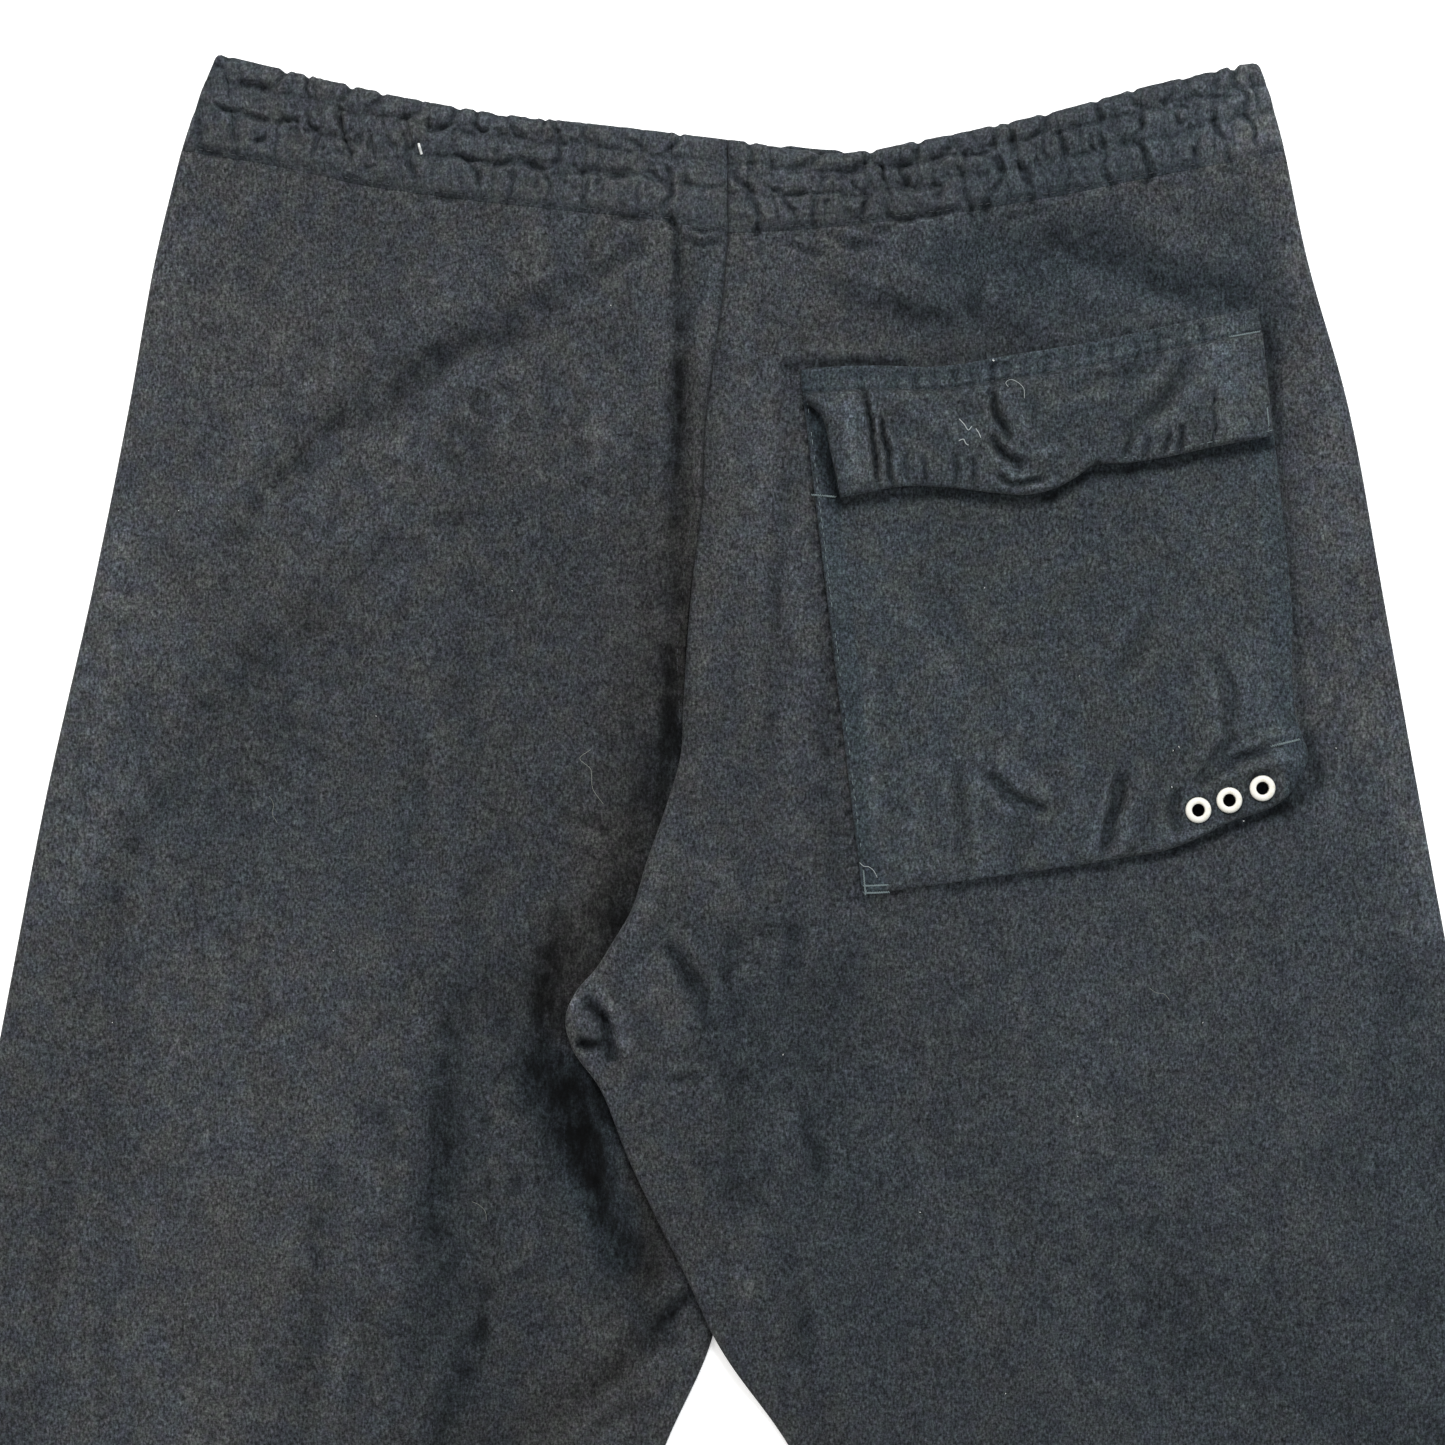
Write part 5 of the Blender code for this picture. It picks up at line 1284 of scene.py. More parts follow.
def eyelet_distances(points):
    return [np.linalg.norm(points - np.array(centre), axis=1) for centre in EYELETS]


def shade_painted_under_eyelets(points):
    """How much painted shade darkens the back under the eyelets' holes: 1 clear of them."""
    low, high, tone = SHADE_UNDER_HOLE
    light = np.ones(len(points))
    for away in eyelet_distances(points):
        light *= tone + (1 - tone) * smooth_step(low, high, away)
    return light


def pressed_allowance(points, half):
    """How far the centre-back seam's allowance shows. It is pressed to the left."""
    from_seam = np.abs(points[:, 0] - across_at(half.back_inner, points[:, 1]))
    beside = (1 - smooth_step(*SEAM_ALLOWANCE, from_seam)) * (half is LEFT)
    return beside * (1 - smooth_step(*ALLOWANCE_SHOWS, points[:, 1]))


def panel_outline(half, waist, side, inner):
    """A panel's four edges: top, bottom, left and right."""
    left, right = mirrored(half, side, inner)
    return waist, (left[-1], right[-1]), left, right


def panel_rows(seat_step, leg_step):
    """Rows down a panel, from its waist seam to its hem and back under it: share down, and drop."""
    seat = spaced(WAIST_TUCK[-1][0], SEAT_LENGTH, seat_step)
    leg = spaced(SEAT_LENGTH, PANEL_LENGTH - TURNED[0][0], leg_step)
    plain = [(place, 0.0) for place in np.concatenate([seat, [SEAT_LENGTH], leg])]
    hem = [(PANEL_LENGTH - inwards, drop) for inwards, drop in TURNED]
    hem.append((PANEL_LENGTH - HEM_DEPTH, TURNED[-1][1]))
    rows = np.array(list(WAIST_TUCK) + plain + hem)
    return rows[:, 0] / PANEL_LENGTH, rows[:, 1]


def make_back(half):
    """A back panel, the leg and half of the seat in one."""
    outline = panel_outline(half, half.waist, half.side, half.back_inner)
    across, left, right = edge_to_edge(PANEL_WIDTH, PANEL_CELL[1])
    outer, inner = mirrored(half, left, right)
    shares, drops = panel_rows(PANEL_CELL[0], LEG_STEP)

    def place(column, row):
        points = patch(outline, across[column], shares[row])
        height, relief = back_height(points, half)
        foot = FOOT + leg_lift(points, half, BACK_LIFTS)
        free = smooth_step(*half.inner_rolls, points[:, 1])
        seam_drop = inner.seam[column]
        height = height - outer.roll[column] * (height - foot)
        height = height - inner.roll[column] * (height - foot) * free - seam_drop * (1 - free)
        height = np.maximum(height - waist_drop(points, drops, row), foot * LOWEST_AT_HEM)
        # The seam's painted shade and the strokes' painted light and shade; on the right back, painted light
        # on the rolled edge and painted shade under the eyelets
        light = seam_shade(seam_drop, 1 - free) * painted_light_at(points, half.tones)
        if half is RIGHT:
            light *= 1 + RIM_PAINTED_LIGHT * inner.roll[column] * free * varied(points, RIM_PATCHES)
            light *= shade_painted_under_eyelets(points)
        dye = DOUBLED_ALLOWANCE * pressed_allowance(points, half) + strokes_at(points, half.dyes)
        return points, height, relief, light, dye

    name = "leg_back_" + half.name
    thing = grid_piece(name, across, shares, place, "wool_flannel", PANEL_CELL, HOLLOWS)
    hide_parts("back_" + half.name)


def make_front(half):
    """A front panel, seen only from below and at the hem."""
    side = moved(half.side, half.inwards * FRONT_SIDE_INSET)
    top = side[:1] + half.waist[1:] if half is LEFT else half.waist[:-1] + side[:1]
    outline = panel_outline(half, top, side, half.front_inner)
    across, left, right = edge_to_edge(PANEL_WIDTH, FRONT_CELL[1])
    shares, drops = panel_rows(FRONT_CELL[0], FRONT_LEG_STEP)

    def place(column, row):
        points = patch(outline, across[column], shares[row])
        lift = leg_lift(points, half, FRONT_LIFTS)
        rise = FRONT_EDGE_RISE * (left.roll[column] + right.roll[column]) + FRONT_HEM_RISE * drops[row]
        return points, FRONT_REST + lift + rise, np.zeros(len(points)), 1.0, 0.0

    name = "front_cloth_" + half.name
    thing = grid_piece(name, across, shares, place, "wool_flannel", FRONT_CELL, HOLLOWS)
    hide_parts("front_" + half.name)


def casing_relief(points, share_up, creases, flat):
    """How far the gathers raise the casing. flat is 1 where it isn't gathered."""
    share_up = share_up + waves(points, 8, CHANNEL_WAVES) / CASING_HEIGHT * np.sin(np.pi * share_up)
    draw = varied(points, CHANNEL_DRAW)
    puffs = np.zeros(len(points))
    groove = np.zeros(len(points))
    width, depth = STITCH_GROOVE
    for band in BANDS:
        inside = (share_up >= band.start) & (share_up <= band.end)
        share = np.clip((share_up - band.start) / (band.end - band.start), 0, 1)
        puffs = np.where(inside, band.fullness * np.sin(np.pi * share) ** 0.8, puffs)
        if band.start > 0:
            groove += depth * np.exp(-(((share_up - band.start) * CASING_HEIGHT / width) ** 2))
    ruffle = waves(points, 12, RUFFLE_WAVES, RUFFLE_SPREAD)
    ruffles = -RUFFLE_DEPTH * np.exp(-((ruffle / RUFFLE_WIDTH) ** 2)) * (RUFFLE_SLACK - draw)
    loose = ruffles + waves(points, 13, CRUMPLE_WAVES) + LOOSE_RISE
    relief = (puffs + groove * draw) * (1 - PUFFS_LOST * flat) + loose * (1 - RUFFLES_LOST * flat)
    return relief + CREASE_FULLER * fold_relief(points, creases, CREASE_WANDER, CREASE_WIDEN)


def make_casing_back(half):
    """Half of the gathered back casing, over its elastic."""
    sewn = tuple(EdgeRow(row.inwards, 0.0, row.seam) for row in EDGE)
    edges = mirrored(half, EDGE, sewn)
    across, left, right = edge_to_edge(CASING_LENGTH, CASING_CELL[1], *edges)
    outer, inner = mirrored(half, left, right)
    ends = WAIST_TUCK[-1][0], CASING_HEIGHT - TURNED[1][0]
    plain = [(place, 0.0) for place in spaced(*ends, CASING_CELL[0])]
    turned = [(CASING_HEIGHT - inwards, drop) for inwards, drop in TURNED[1:]]
    rows = np.array(list(WAIST_TUCK) + plain + turned)
    shares, drops = rows[:, 0] / CASING_HEIGHT, rows[:, 1]

    def place(column, row):
        along, share_up = across[column], shares[row]
        lower, upper = curve_through(half.waist, along), curve_through(half.top_edge, along)
        below_edge = upper + (lower - upper) * EDGE_READ
        cut = np.clip(-fold_relief(below_edge, half.creases, CREASE_WANDER), *EDGE_CUTS)
        points = lower + (upper - lower) * share_up[:, None]
        from_centre = (1 - along if half is LEFT else along) * CASING_LENGTH
        flat = 1 - smooth_step(*FLAT_PATCH, from_centre) if half is LEFT else 0.0
        gathered = smooth_step(*GATHERS_START, share_up * CASING_HEIGHT)
        relief = casing_relief(points, share_up, half.creases, flat) * gathered
        relief += back_relief(points, half) * (1 - gathered)
        points[:, 1] += EDGE_RIPPLE * cut * smooth_step(*EDGE_RIM, share_up)
        near_side = np.clip(1 - (CASING_LENGTH - from_centre) / CASING_CORNER, 0, 1)
        rounding = CASING_CORNER * (1 - np.sqrt(1 - near_side**2))
        points[:, 1] += rounding * smooth_step(*CORNER_RISE, share_up)
        height = np.maximum(BACK_TOP + relief, LOWEST_BACK)
        seam_drop = inner.seam[column]
        height = height - outer.roll[column] * (height - FOOT) - seam_drop
        height = np.maximum(height - waist_drop(points, drops, row), FOOT)
        # Painted shade in the seam, times the painted light and shade of the strokes
        light = seam_shade(seam_drop) * painted_light_at(points, CASING_LIGHT_AND_SHADE)
        return points, height, relief, light, DOUBLED_CASING + strokes_at(points, CASING_DYES)

    name = "casing_cloth_back_" + half.name
    thing = grid_piece(name, across, shares, place, "wool_casing", CASING_CELL, CASING_HOLLOWS)
    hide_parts("casing_back_" + half.name)


def make_casing_front(half):
    """Half of the front casing: flat on the surface, turned over at the waist and back down inside."""
    across, _, _ = edge_to_edge(CASING_LENGTH - FRONT_CASING_INSET, FRONT_CASING_CELL[1])
    up = np.concatenate([[0.0], spaced(0, CASING_HEIGHT - FRONT_TURN_STARTS, FRONT_CASING_CELL[0])])
    rows = [(place, 0.0) for place in up]
    rows += [(CASING_HEIGHT - inwards, lift) for inwards, lift in FRONT_TURN]
    rows += [(place, FRONT_TURN[-1][1]) for place in reversed(up[:-1])]
    rows = np.array(rows)
    shares, lifts = rows[:, 0] / CASING_HEIGHT, rows[:, 1]
    inset = FRONT_CASING_INSET / CASING_LENGTH

    def place(column, row):
        along = across[column] * (1 - inset) + (inset if half is LEFT else 0.0)
        lower, upper = curve_through(half.waist, along), curve_through(half.top_edge, along)
        peek = smooth_step(*FRONT_PEEK_STARTS, upper[:, 0])
        peek = peek * (1 - smooth_step(*FRONT_PEEK_ENDS, upper[:, 0]))
        upper[:, 1] += FRONT_TOP_DROP - FRONT_PEEK * peek
        points = lower + (upper - lower) * shares[row][:, None]
        relief = FRONT_CREASES * fold_relief(points, half.creases, CREASE_WANDER)
        height = FRONT_REST + lifts[row] + np.clip(-relief, 0, FRONT_CREASE_LIMIT) * (1 - lifts[row])
        return points, height, relief * FRONT_SHADING, 1.0, DOUBLED_CASING

    name = "casing_cloth_front_" + half.name
    thing = grid_piece(name, across, shares, place, "wool_casing", FRONT_CASING_CELL, CASING_HOLLOWS)
    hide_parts("casing_front_" + half.name)


def rows_top_to_bottom(depth, step):
    """Rows down a pressed piece: where they lie as shares of its depth, and how far they roll under."""
    near = [row.inwards for row in PRESSED_EDGE]
    far = [depth - row.inwards for row in reversed(PRESSED_EDGE)]
    between = spaced(near[-1], far[0], step)
    rolls = [row.roll for row in PRESSED_EDGE]
    return np.concatenate([near, between, far]) / depth, np.array(rolls + [0.0] * len(between) + rolls[::-1])


def rounded(share_across, share_down, size, radius):
    """The shares, drawn in near the lower right corner so that it is round."""
    width, depth = size
    beside = np.clip(1 - (1 - share_across) * width / radius, 0, 1)
    below = np.clip(1 - (1 - share_down) * depth / radius, 0, 1)
    inwards = radius * beside * (1 - np.sqrt(1 - below**2 / 2))
    upwards = radius * below * (1 - np.sqrt(1 - beside**2 / 2))
    return share_across - inwards / width, share_down - upwards / depth


def patch_piece(name, outline, size, cell, corner, height_of, foot_of, tones, dye_of):
    """A piece sewn flat on the back, its edges pressed under."""
    width, depth = size
    across, left, right = edge_to_edge(width, cell[1], PRESSED_EDGE, PRESSED_EDGE)
    shares, roll_rows = rows_top_to_bottom(depth, cell[0])

    def place(column, row):
        points = patch(outline, *rounded(across[column], shares[row], size, corner))
        roll = np.maximum(np.maximum(left.roll[column], right.roll[column]), roll_rows[row])
        height, relief = height_of(points)
        height = height - roll * (height - foot_of(points))
        # Painted light and shade from the strokes
        return points, height, relief, painted_light_at(points, tones), dye_of(points)

    return grid_piece(name, across, shares, place, "pocket_flannel", cell, FINE_HOLLOWS)


def pocket_height(points):
    """Height of the pocket before its edges turn under, and the relief in it."""
    relief = POCKET_FULLER * fold_relief(points, POCKET_FOLDS, POCKET_WANDER) + waves(points, 5)
    for away in eyelet_distances(points):
        relief *= smooth_step(*EYELET_FLAT, away)
    below_flap = points[:, 1] - down_at(FLAP_BOTTOM, points[:, 0])
    beside_flap = smooth_step(*BESIDE_FLAP, points[:, 0] - across_at(FLAP_LEFT, points[:, 1]))
    free = np.maximum(smooth_step(*BELOW_FLAP, below_flap), FREE_BESIDE_FLAP * beside_flap)
    relief = np.maximum(relief * free, LOWEST_IN_POCKET)
    return POCKET_REST + CLOTH + POCKET_EASE * free + relief, relief


def pocket_foot(points):
    return np.full(len(points), POCKET_REST - POCKET_SINKS)


def pocket_dye(points):
    """How much of the cool dye shows in the pocket's turned side edges."""
    from_left = points[:, 0] - across_at(POCKET_LEFT, points[:, 1])
    from_right = across_at(POCKET_RIGHT, points[:, 1]) - points[:, 0]
    return DOUBLED_HEM * (1 - smooth_step(*POCKET_HEM, np.minimum(from_left, from_right)))


def make_pocket():
    outline = (POCKET_TOP, POCKET_BOTTOM, POCKET_LEFT, POCKET_RIGHT)
    looks = (pocket_height, pocket_foot, POCKET_LIGHT_AND_SHADE, pocket_dye)
    thing = patch_piece("pocket_cloth", outline, POCKET_SIZE, POCKET_CELL, POCKET_CORNER, *looks)
    cut_holes(thing)
    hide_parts("back_pocket")


def cut_holes(thing):
    """Takes the cloth out of the eyelets, under their rings."""
    body = bmesh.new()
    body.from_mesh(thing.data)
    centres = in_metres(np.array(EYELETS), 0)[:, :2]
    inside = []
    for corner in body.verts:
        away = np.hypot(*(centres - np.array(corner.co[:2])).T)
        if away.min() < HOLE_RADIUS * MM:
            inside.append(corner)
    bmesh.ops.delete(body, geom=inside, context="VERTS")
    body.to_mesh(thing.data)
    body.free()


def flap_from_top(points):
    return points[:, 1] - down_at(FLAP_TOP, points[:, 0])


def flap_foot(points):
    """Height of what the flap lies on: the back beside its top edge, then the pocket."""
    from_top = flap_from_top(points)
    over_pocket = (CLOTH + GAP + FLAP_SINKS) * smooth_step(*FLAP_STEP, from_top)
    return POCKET_REST - FLAP_SINKS + over_pocket + FLAP_LIFT * smooth_step(*FLAP_LIFTS, from_top)


def flap_height(points):
    """Height of the flap before its edges turn under, and the relief in it."""
    from_top = flap_from_top(points)
    relief = FLAP_FULLER * fold_relief(points, FLAP_FOLDS, POCKET_WANDER) + waves(points, 9)
    relief *= smooth_step(*FLAP_FOLDS_START, from_top)
    groove, groove_depth = STRIP_GROOVE
    relief = relief - groove_depth * np.exp(-(((from_top - FLAP_STRIP) / groove) ** 2))
    in_strip = smooth_step(*STRIP_STARTS, from_top) * (1 - smooth_step(*STRIP_ENDS, from_top))
    for across, depth in STRIP_PUCKERS:
        relief -= depth * in_strip * np.exp(-(((points[:, 0] - across) / STRIP_PUCKER_WIDTH) ** 2))
    relief = np.maximum(relief, LOWEST_IN_FLAP)
    ease = FLAP_EASE * smooth_step(*FLAP_EASES, from_top)
    return flap_foot(points) + CLOTH + ease + relief, relief


def flap_dye(points):
    """How much of the cool dye shows in the flap, most of it in its top strip."""
    in_strip = 1 - smooth_step(FLAP_STRIP - 0.5, FLAP_STRIP + 0.5, flap_from_top(points))
    return FLAP_DYE + STRIP_DYE * in_strip


def make_flap():
    outline = (FLAP_TOP, FLAP_BOTTOM, FLAP_LEFT, FLAP_RIGHT)
    looks = (flap_height, flap_foot, FLAP_LIGHT_AND_SHADE, flap_dye)
    thing = patch_piece("flap_cloth", outline, FLAP_SIZE, FLAP_CELL, FLAP_CORNER, *looks)
    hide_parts("pocket_flap")


def make_eyelet(number, centre):
    """A turned ring whose barrel passes through the pocket."""
    profile = bmesh.new()
    corners = [profile.verts.new((radius * MM, 0, height * MM)) for radius, height in EYELET_SECTION]
    for corner, following in zip(corners, corners[1:] + corners[:1]):
        profile.edges.new((corner, following))
    mesh = bpy.data.meshes.new(f"eyelet_ring_{number}")
    profile.to_mesh(mesh)
    profile.free()
    thing = add_piece(mesh.name, mesh, "eyelet_enamel")
    thing.location = in_metres(np.array([centre]), POCKET_REST + CLOTH + POCKET_EASE)[0]
    turn = thing.modifiers.new("turned", "SCREW")
    turn.steps = turn.render_steps = EYELET_STEPS
    turn.use_merge_vertices = True
    turn.merge_threshold = 0.00001
    turn.use_smooth_shade = True
    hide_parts(f"eyelet_{number}")


def height_on(carrier, points):
    """Height of the cloth that carries a stitch or a thread, at these points."""
    if carrier == "flap":
        return flap_height(points)[0]
    if carrier == "pocket":
        return pocket_height(points)[0]
    left, right = (back_height(points, half)[0] for half in HALVES)
    height = np.where(points[:, 0] < across_at(RIGHT.back_inner, points[:, 1]), left, right)
    for half in HALVES:
        seam, edge = down_at(half.waist, points[:, 0]), down_at(half.top_edge, points[:, 0])
        share_up = np.clip((seam - points[:, 1]) / (seam - edge), 0, 1)
        above = BACK_TOP + casing_relief(points, share_up, half.creases, 0.0)
        mine = (points[:, 0] < 0) == (half is LEFT)
        height = np.where(mine & (points[:, 1] < seam), above, height)
    return height


def stitches(name, starts, ends, heights, thickness, finish, slot):
    """Many stitches in one mesh, each lying on the cloth from its start to its end."""
    turns = np.linspace(0, 2 * np.pi, STITCH_SIDES, endpoint=False)
    corners, faces = [], []
    for start, end, height in zip(starts, ends, heights):
        along = end - start
        aside = np.array([-along[1], along[0]]) / np.linalg.norm(along)
        first = len(corners)
        for share, rise, half_width in STITCH:
            middle = (start + end) / 2 + share * along
            for turn in turns:
                spot = middle + aside * half_width * thickness * np.cos(turn)
                corners.append((*spot, height + thickness * (rise + half_width * np.sin(turn))))
        for ring in range(len(STITCH) - 1):
            for side in range(STITCH_SIDES):
                following = (side + 1) % STITCH_SIDES
                low, high = first + ring * STITCH_SIDES, first + (ring + 1) * STITCH_SIDES
                faces.append((low + side, low + following, high + following, high + side))
        faces.append([first + side for side in reversed(range(STITCH_SIDES))])
        last = first + (len(STITCH) - 1) * STITCH_SIDES
        faces.append([last + side for side in range(STITCH_SIDES)])
    corners = np.array(corners)
    mesh = bpy.data.meshes.new(name)
    mesh.from_pydata(in_metres(corners[:, :2], corners[:, 2]).tolist(), [], faces)
    mesh.shade_smooth()
    return add_piece(name, mesh, finish)


def stitch_row(row):
    """A row of machine stitches along a path, a little uneven as sewn cloth is. Some sink out of sight
    in the nap."""
    chance = np.random.default_rng(len(row.name) * 7 + round(row.path[0][1]))
    length = np.linalg.norm(np.diff(np.array(row.path, float), axis=0), axis=1).sum()
    count = max(1, round(length / (row.stitch + row.gap)))
    middles = (np.arange(count) + 0.5) / count
    half = row.stitch / length / 2
    starts = curve_through(row.path, np.clip(middles - half, 0, 1))
    ends = curve_through(row.path, np.clip(middles + half, 0, 1))
    starts = starts + chance.normal(0, STITCH_STRAYS, starts.shape)
    ends = ends + chance.normal(0, STITCH_STRAYS, ends.shape)
    heights = height_on(row.on, (starts + ends) / 2) - row.sunk + chance.normal(0, STITCH_RISES, count)
    seen = chance.random(count) >= row.hidden
    ready = starts[seen], ends[seen], heights[seen]
    stitches(row.name, *ready, row.thickness, row.finish, SLOTS[row.on])


def bar_tack(number, tack):
    """A dense zigzag of thread over a thicker bar of it."""
    start, end = np.array(tack.start), np.array(tack.end)
    length = np.linalg.norm(end - start)
    along = (end - start) / length
    aside = np.array([-along[1], along[0]]) * tack.width / 2
    count = round(length / TACK_PITCH)
    middles = start + along * ((np.arange(count) + 0.5) * length / count)[:, None]
    swing = np.where(np.arange(count) % 2, 1, -1)[:, None]
    starts = middles + aside * swing - along * TACK_SLANT
    ends = middles - aside * swing + along * TACK_SLANT
    bars = np.linspace(-TACK_BAR_SPREAD, TACK_BAR_SPREAD, TACK_BARS)[:, None] * aside
    starts = np.concatenate([starts, start + bars])
    ends = np.concatenate([ends, end + bars])
    heights = height_on(tack.on, (starts + ends) / 2) + TACK_RISE
    heights[-TACK_BARS:] = heights[:-TACK_BARS].mean()
    name = f"bar_tack_{number}"
    stitches(name, starts, ends, heights, THREAD_THICKNESS, "tack_thread", SLOTS[tack.on])


def make_sewing():
    for row in STITCH_ROWS:
        stitch_row(row)
    for number, tack in enumerate(TACKS, 1):
        bar_tack(number, tack)


def make_thread(number, thread):
    """A loose thread lying on the cloth."""
    points = curve_through(thread.points, np.linspace(0, 1, 4 * len(thread.points)))
    heights = height_on(thread.on, points) + thread.thickness * 0.5
    curve = bpy.data.curves.new(f"loose_thread_{number}", "CURVE")
    curve.dimensions = "3D"
    curve.bevel_depth = thread.thickness / 2 * MM
    curve.bevel_resolution = 1
    curve.use_fill_caps = True
    spline = curve.splines.new("POLY")
    spline.points.add(len(points) - 1)
    spots = np.concatenate([in_metres(points, heights), np.ones((len(points), 1))], axis=1)
    spline.points.foreach_set("co", spots.ravel())
    add_piece(curve.name, curve, thread.finish)


def make_lint():
    """Loose threads, and specks of lint lying this way and that."""
    for number, thread in enumerate(THREADS, 1):
        make_thread(number, thread)
    chance = np.random.default_rng(3)
    starts, ends, heights = [], [], []
    for carrier, across, down, size in SPECKS:
        turn = chance.uniform(0, np.pi)
        reach = np.array([np.cos(turn), np.sin(turn)]) * size
        spot = np.array([across, down])
        starts.append(spot - reach)
        ends.append(spot + reach)
        heights.append(height_on(carrier, spot[None])[0] + SPECK_RISE)
    stitches("lint_specks", starts, ends, heights, THREAD_THICKNESS, "lint_white", "wool_flannel")


class Value:
    """A number that varies over a surface. Arithmetic on it adds the shader's Math nodes."""

    def __init__(self, shader, socket):
        self.shader = shader
        self.socket = socket

    def math(self, operation, *values):
        return self.shader.add("ShaderNodeMath", dict(enumerate(values)), operation=operation)

    def __add__(self, other):
        return self.math("ADD", self, other)

    def __radd__(self, other):
        return self.math("ADD", other, self)

    def __sub__(self, other):
        return self.math("SUBTRACT", self, other)

    def __rsub__(self, other):
        return self.math("SUBTRACT", other, self)

    def __mul__(self, other):
        return self.math("MULTIPLY", self, other)

    def __rmul__(self, other):
        return self.math("MULTIPLY", other, self)

    def __pow__(self, other):
        return self.math("POWER", self, other)

    def between(self, low, high):
        """0 below low, 1 above high and a smooth change between them."""
        inputs = {"Value": self, "From Min": low, "From Max": high}
        return self.shader.add("ShaderNodeMapRange", inputs, interpolation_type="SMOOTHSTEP")


class Shader:
    """A material, made node by node."""

    def __init__(self, name, **settings):
        self.material = bpy.data.materials.new(name)
        self.material.use_nodes = True
        self.tree = self.material.node_tree
        self.surface = self.tree.nodes["Principled BSDF"]
        for socket, value in settings.items():
            self.surface.inputs[socket.replace("_", " ")].default_value = value

    def add(self, kind, inputs=(), output=0, **settings):
        node = self.tree.nodes.new(kind)
        for setting, value in settings.items():
            setattr(node, setting, value)
        for socket, value in dict(inputs).items():
            self.feed(node.inputs[socket], value)
        return Value(self, node.outputs[output])

    def feed(self, socket, value):
        if isinstance(value, Value):
            self.tree.links.new(value.socket, socket)
        elif socket.type == "RGBA":
            socket.default_value = (*value, 1)
        else:
            socket.default_value = value

    def finish(self, **inputs):
        for socket, value in inputs.items():
            self.feed(self.surface.inputs[socket.replace("_", " ")], value)
        return self.material

    def mix(self, factor, first, second):
        inputs = {0: factor, 6: first, 7: second}
        return self.add("ShaderNodeMix", inputs, output=2, data_type="RGBA")

    def times(self, first, second):
        """Two colours or vectors, multiplied part by part."""
        return self.add("ShaderNodeVectorMath", {0: first, 1: second}, operation="MULTIPLY")

    def tinted(self, colour, amount):
        """A colour made brighter or darker by a number."""
        inputs = {0: colour, "Scale": amount}
        return self.add("ShaderNodeVectorMath", inputs, operation="SCALE")

    def place(self):
        """Where each point of the piece lies, in metres."""
        return self.add("ShaderNodeTexCoord", output="Object")

    def painted(self, attribute):
        """A value that the cloth's mesh holds at its corners."""
        return self.add("ShaderNodeAttribute", output="Fac", attribute_name=attribute)

    def noise(self, where, size, detail=2.0, stretch=(1, 1, 1), roughness=0.5):
        """Cloudy noise whose clouds are about this many millimetres across, stretched along an axis."""
        spot = self.times(where, tuple(1 / (size * MM * along) for along in stretch))
        inputs = {"Vector": spot, "Scale": 1.0, "Detail": detail, "Roughness": roughness}
        return self.add("ShaderNodeTexNoise", inputs)


def dyed(colour, tint):
    return tuple(part * share for part, share in zip(colour, tint))


def wool(name, colour, contrast=1.0):
    """Brushed melange flannel: short fibres of several greys felted over a fine weave."""
    shader = Shader(name, Roughness=0.95, Sheen_Weight=0.04, Sheen_Roughness=0.6, Specular_IOR_Level=0.04)
    where = shader.place()
    shade, dye = shader.painted("shade"), shader.painted("dye")
    # Fibres that lie along the leg and across it, in clumps, patches and wider areas
    fibres = shader.noise(where, 1.15, stretch=(0.7, 1.4, 1), roughness=0.6)
    crossing = shader.noise(where, 0.8, 1.0, stretch=(1.3, 0.8, 1))
    clumps, patches, areas = (shader.noise(where, size) for size in (2.6, 6.0, 22.0))
    fine = fibres * 0.68 + crossing * 0.32
    grain = (fine * 2) ** (3.0 * contrast)
    amount = grain * (0.24 + clumps * 0.56 + patches * 0.56 + areas * 0.40)
    # Fibres of several dyes, more of the cool one where the cloth lies double, and painted shade tinted cool
    hue = shader.noise(where, 3.2) * 0.3 + shader.noise(where, 11.0) * 0.7
    moss = shader.noise(where, 1.8, 1.0) * 0.55 + shader.noise(where, 6.0) * 0.45
    tint = shader.mix(hue.between(0.36, 0.64), dyed(colour, COOL), dyed(colour, WARM))
    tint = shader.mix((dye + (1 - shade) * 0.9) * 0.8, tint, dyed(colour, BLUED))
    tint = shader.mix((dye + 0.1) * -0.9, tint, dyed(colour, BROWNED))
    tint = shader.times(tint, shader.mix(moss.between(0.34, 0.66), HEATHER, MOSS))
    # Pale fibres on the nap, and the painted light and shade, whose hollows end raggedly in it
    lint = shader.noise(where, 0.8, 0.0, stretch=(0.7, 1.6, 1)).between(0.72, 0.80)
    cloth = shader.mix(lint * 0.4, shader.tinted(tint, amount), dyed(colour, PALE))
    ragged = shader.noise(where, 4.5, 3.0, stretch=(0.8, 1.8, 1)).between(0.34, 0.66)
    cloth = shader.tinted(cloth, shade ** (0.66 + ragged * 0.68))
    surface = fine * 0.8 + clumps * 0.5
    raised = shader.add("ShaderNodeBump", {"Strength": 0.5, "Distance": NAP_RISE * MM, "Height": surface})
    return shader.finish(Base_Color=cloth, Normal=raised)


def enamel(name):
    """Cream enamel over a pressed ring, slightly worn and yellowed in places."""
    shader = Shader(name, Roughness=0.32, Coat_Weight=0.3, Coat_Roughness=0.2)
    where = shader.place()
    worn = shader.noise(where, 2.2, 3.0).between(0.60, 0.72)
    colour = shader.mix(worn * 0.5, CREAM, YELLOWED)
    return shader.finish(Base_Color=colour, Roughness=0.3 + shader.noise(where, 0.8) * 0.15)


def yarn(name, colour):
    """Sewing thread or lint, its plies showing as a little unevenness."""
    shader = Shader(name, Roughness=0.8, Sheen_Weight=0.1)
    plies = shader.noise(shader.place(), 0.35)
    return shader.finish(Base_Color=shader.tinted(colour, 0.6 + plies * 0.8))


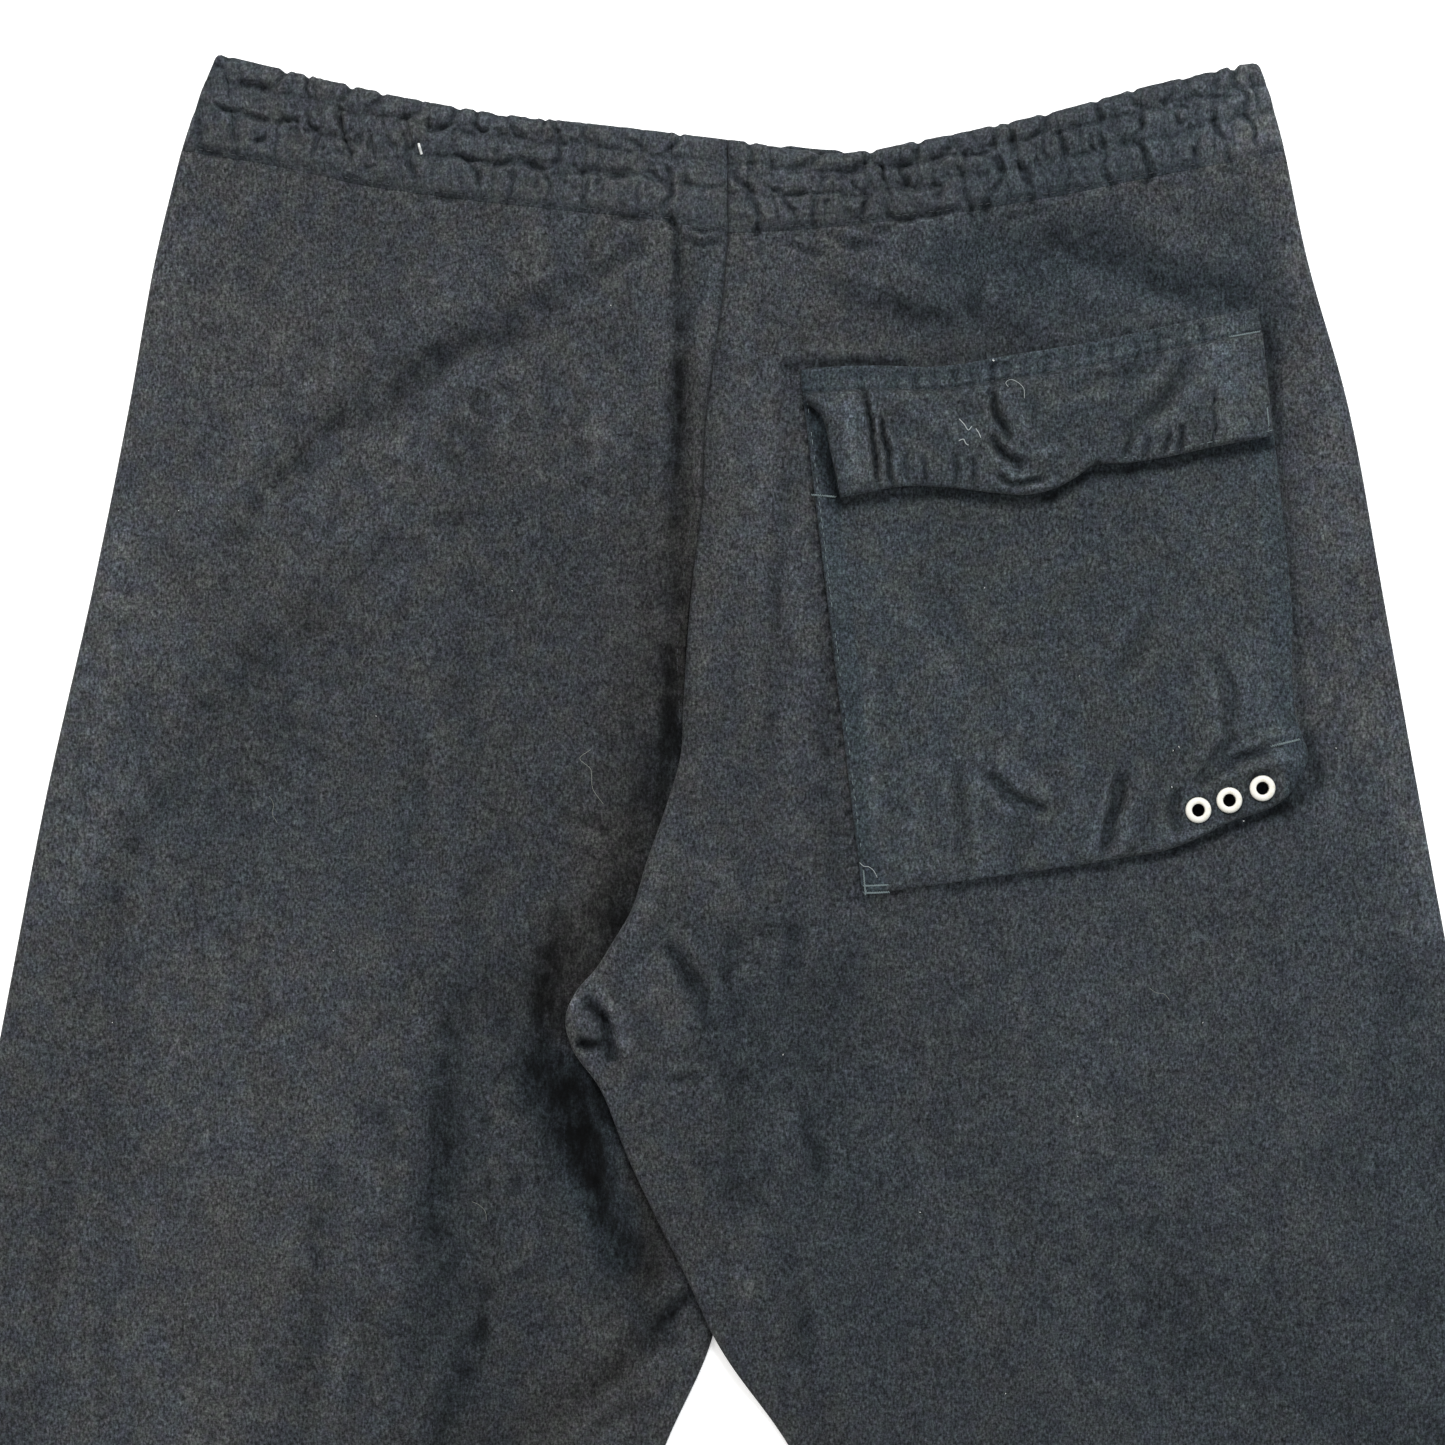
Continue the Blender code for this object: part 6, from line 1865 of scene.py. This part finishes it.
def paper(name):
    """White paper that glows a little, so that it stays white under soft light."""
    shader = Shader(name, Roughness=0.8, Emission_Color=(1, 1, 1, 1), Emission_Strength=0.3)
    clouds = shader.noise(shader.place(), 30.0)
    return shader.finish(Base_Color=shader.mix(clouds, (0.93, 0.93, 0.93), (0.95, 0.95, 0.95)))


def make_finishes():
    FINISHES["wool_flannel"] = wool("charcoal flannel", CHARCOAL)
    FINISHES["wool_casing"] = wool("gathered flannel", CHARCOAL, 0.8)
    FINISHES["pocket_flannel"] = wool("pressed flannel", PRESSED_CHARCOAL)
    FINISHES["eyelet_enamel"] = enamel("cream enamel")
    FINISHES["floor_paper"] = paper("white paper")
    for finish, (name, colour) in YARNS.items():
        FINISHES[finish] = yarn(name, colour)


def make_floor():
    mesh = bpy.data.meshes.new("floor")
    sheet = bmesh.new()
    bmesh.ops.create_grid(sheet, x_segments=1, y_segments=1, size=FLOOR_REACH)
    sheet.to_mesh(mesh)
    sheet.free()
    mesh.materials.append(FINISHES["floor_paper"])
    floor = bpy.data.objects.new("floor", mesh)
    floor.location.z = -FLOOR_BELOW * MM
    bpy.context.scene.collection.objects.link(floor)


def make_camera():
    """A camera straight above, which takes in what the photograph does."""
    camera = bpy.data.cameras.new("camera")
    camera.lens, camera.sensor_width = LENS, SENSOR
    thing = bpy.data.objects.new("camera", camera)
    centre = in_metres(np.array([VIEW_CENTRE]), BACK_TOP)[0]
    thing.location = centre + np.array([0, 0, VIEW_SIDE * MM * LENS / SENSOR])
    bpy.context.scene.collection.objects.link(thing)
    bpy.context.scene.camera = thing


def make_studio():
    for lamp in LIGHTS:
        light = bpy.data.lights.new(lamp.name, "AREA")
        light.shape, light.size, light.energy, light.color = "DISK", lamp.size, lamp.power, lamp.colour
        thing = bpy.data.objects.new(lamp.name, light)
        thing.location = lamp.place
        aim = Vector(LIT_SPOT) - Vector(lamp.place)
        thing.rotation_euler = aim.to_track_quat("-Z", "Y").to_euler()
        bpy.context.scene.collection.objects.link(thing)
    world = bpy.data.worlds.new("studio")
    bpy.context.scene.world = world
    world.use_nodes = True
    background = world.node_tree.nodes["Background"]
    background.inputs["Color"].default_value = (1, 1, 1, 1)
    background.inputs["Strength"].default_value = ROOM_LIGHT
    bpy.context.scene.view_settings.view_transform = "Standard"


def main():
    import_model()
    make_camera()
    make_finishes()
    make_floor()
    make_studio()
    for make_panel in (make_front, make_back):
        for half in HALVES:
            make_panel(half)
    for half in HALVES:
        make_casing_front(half)
        make_casing_back(half)
    make_pocket()
    make_flap()
    for number, centre in enumerate(EYELETS, 1):
        make_eyelet(number, centre)
    make_sewing()
    make_lint()


main()
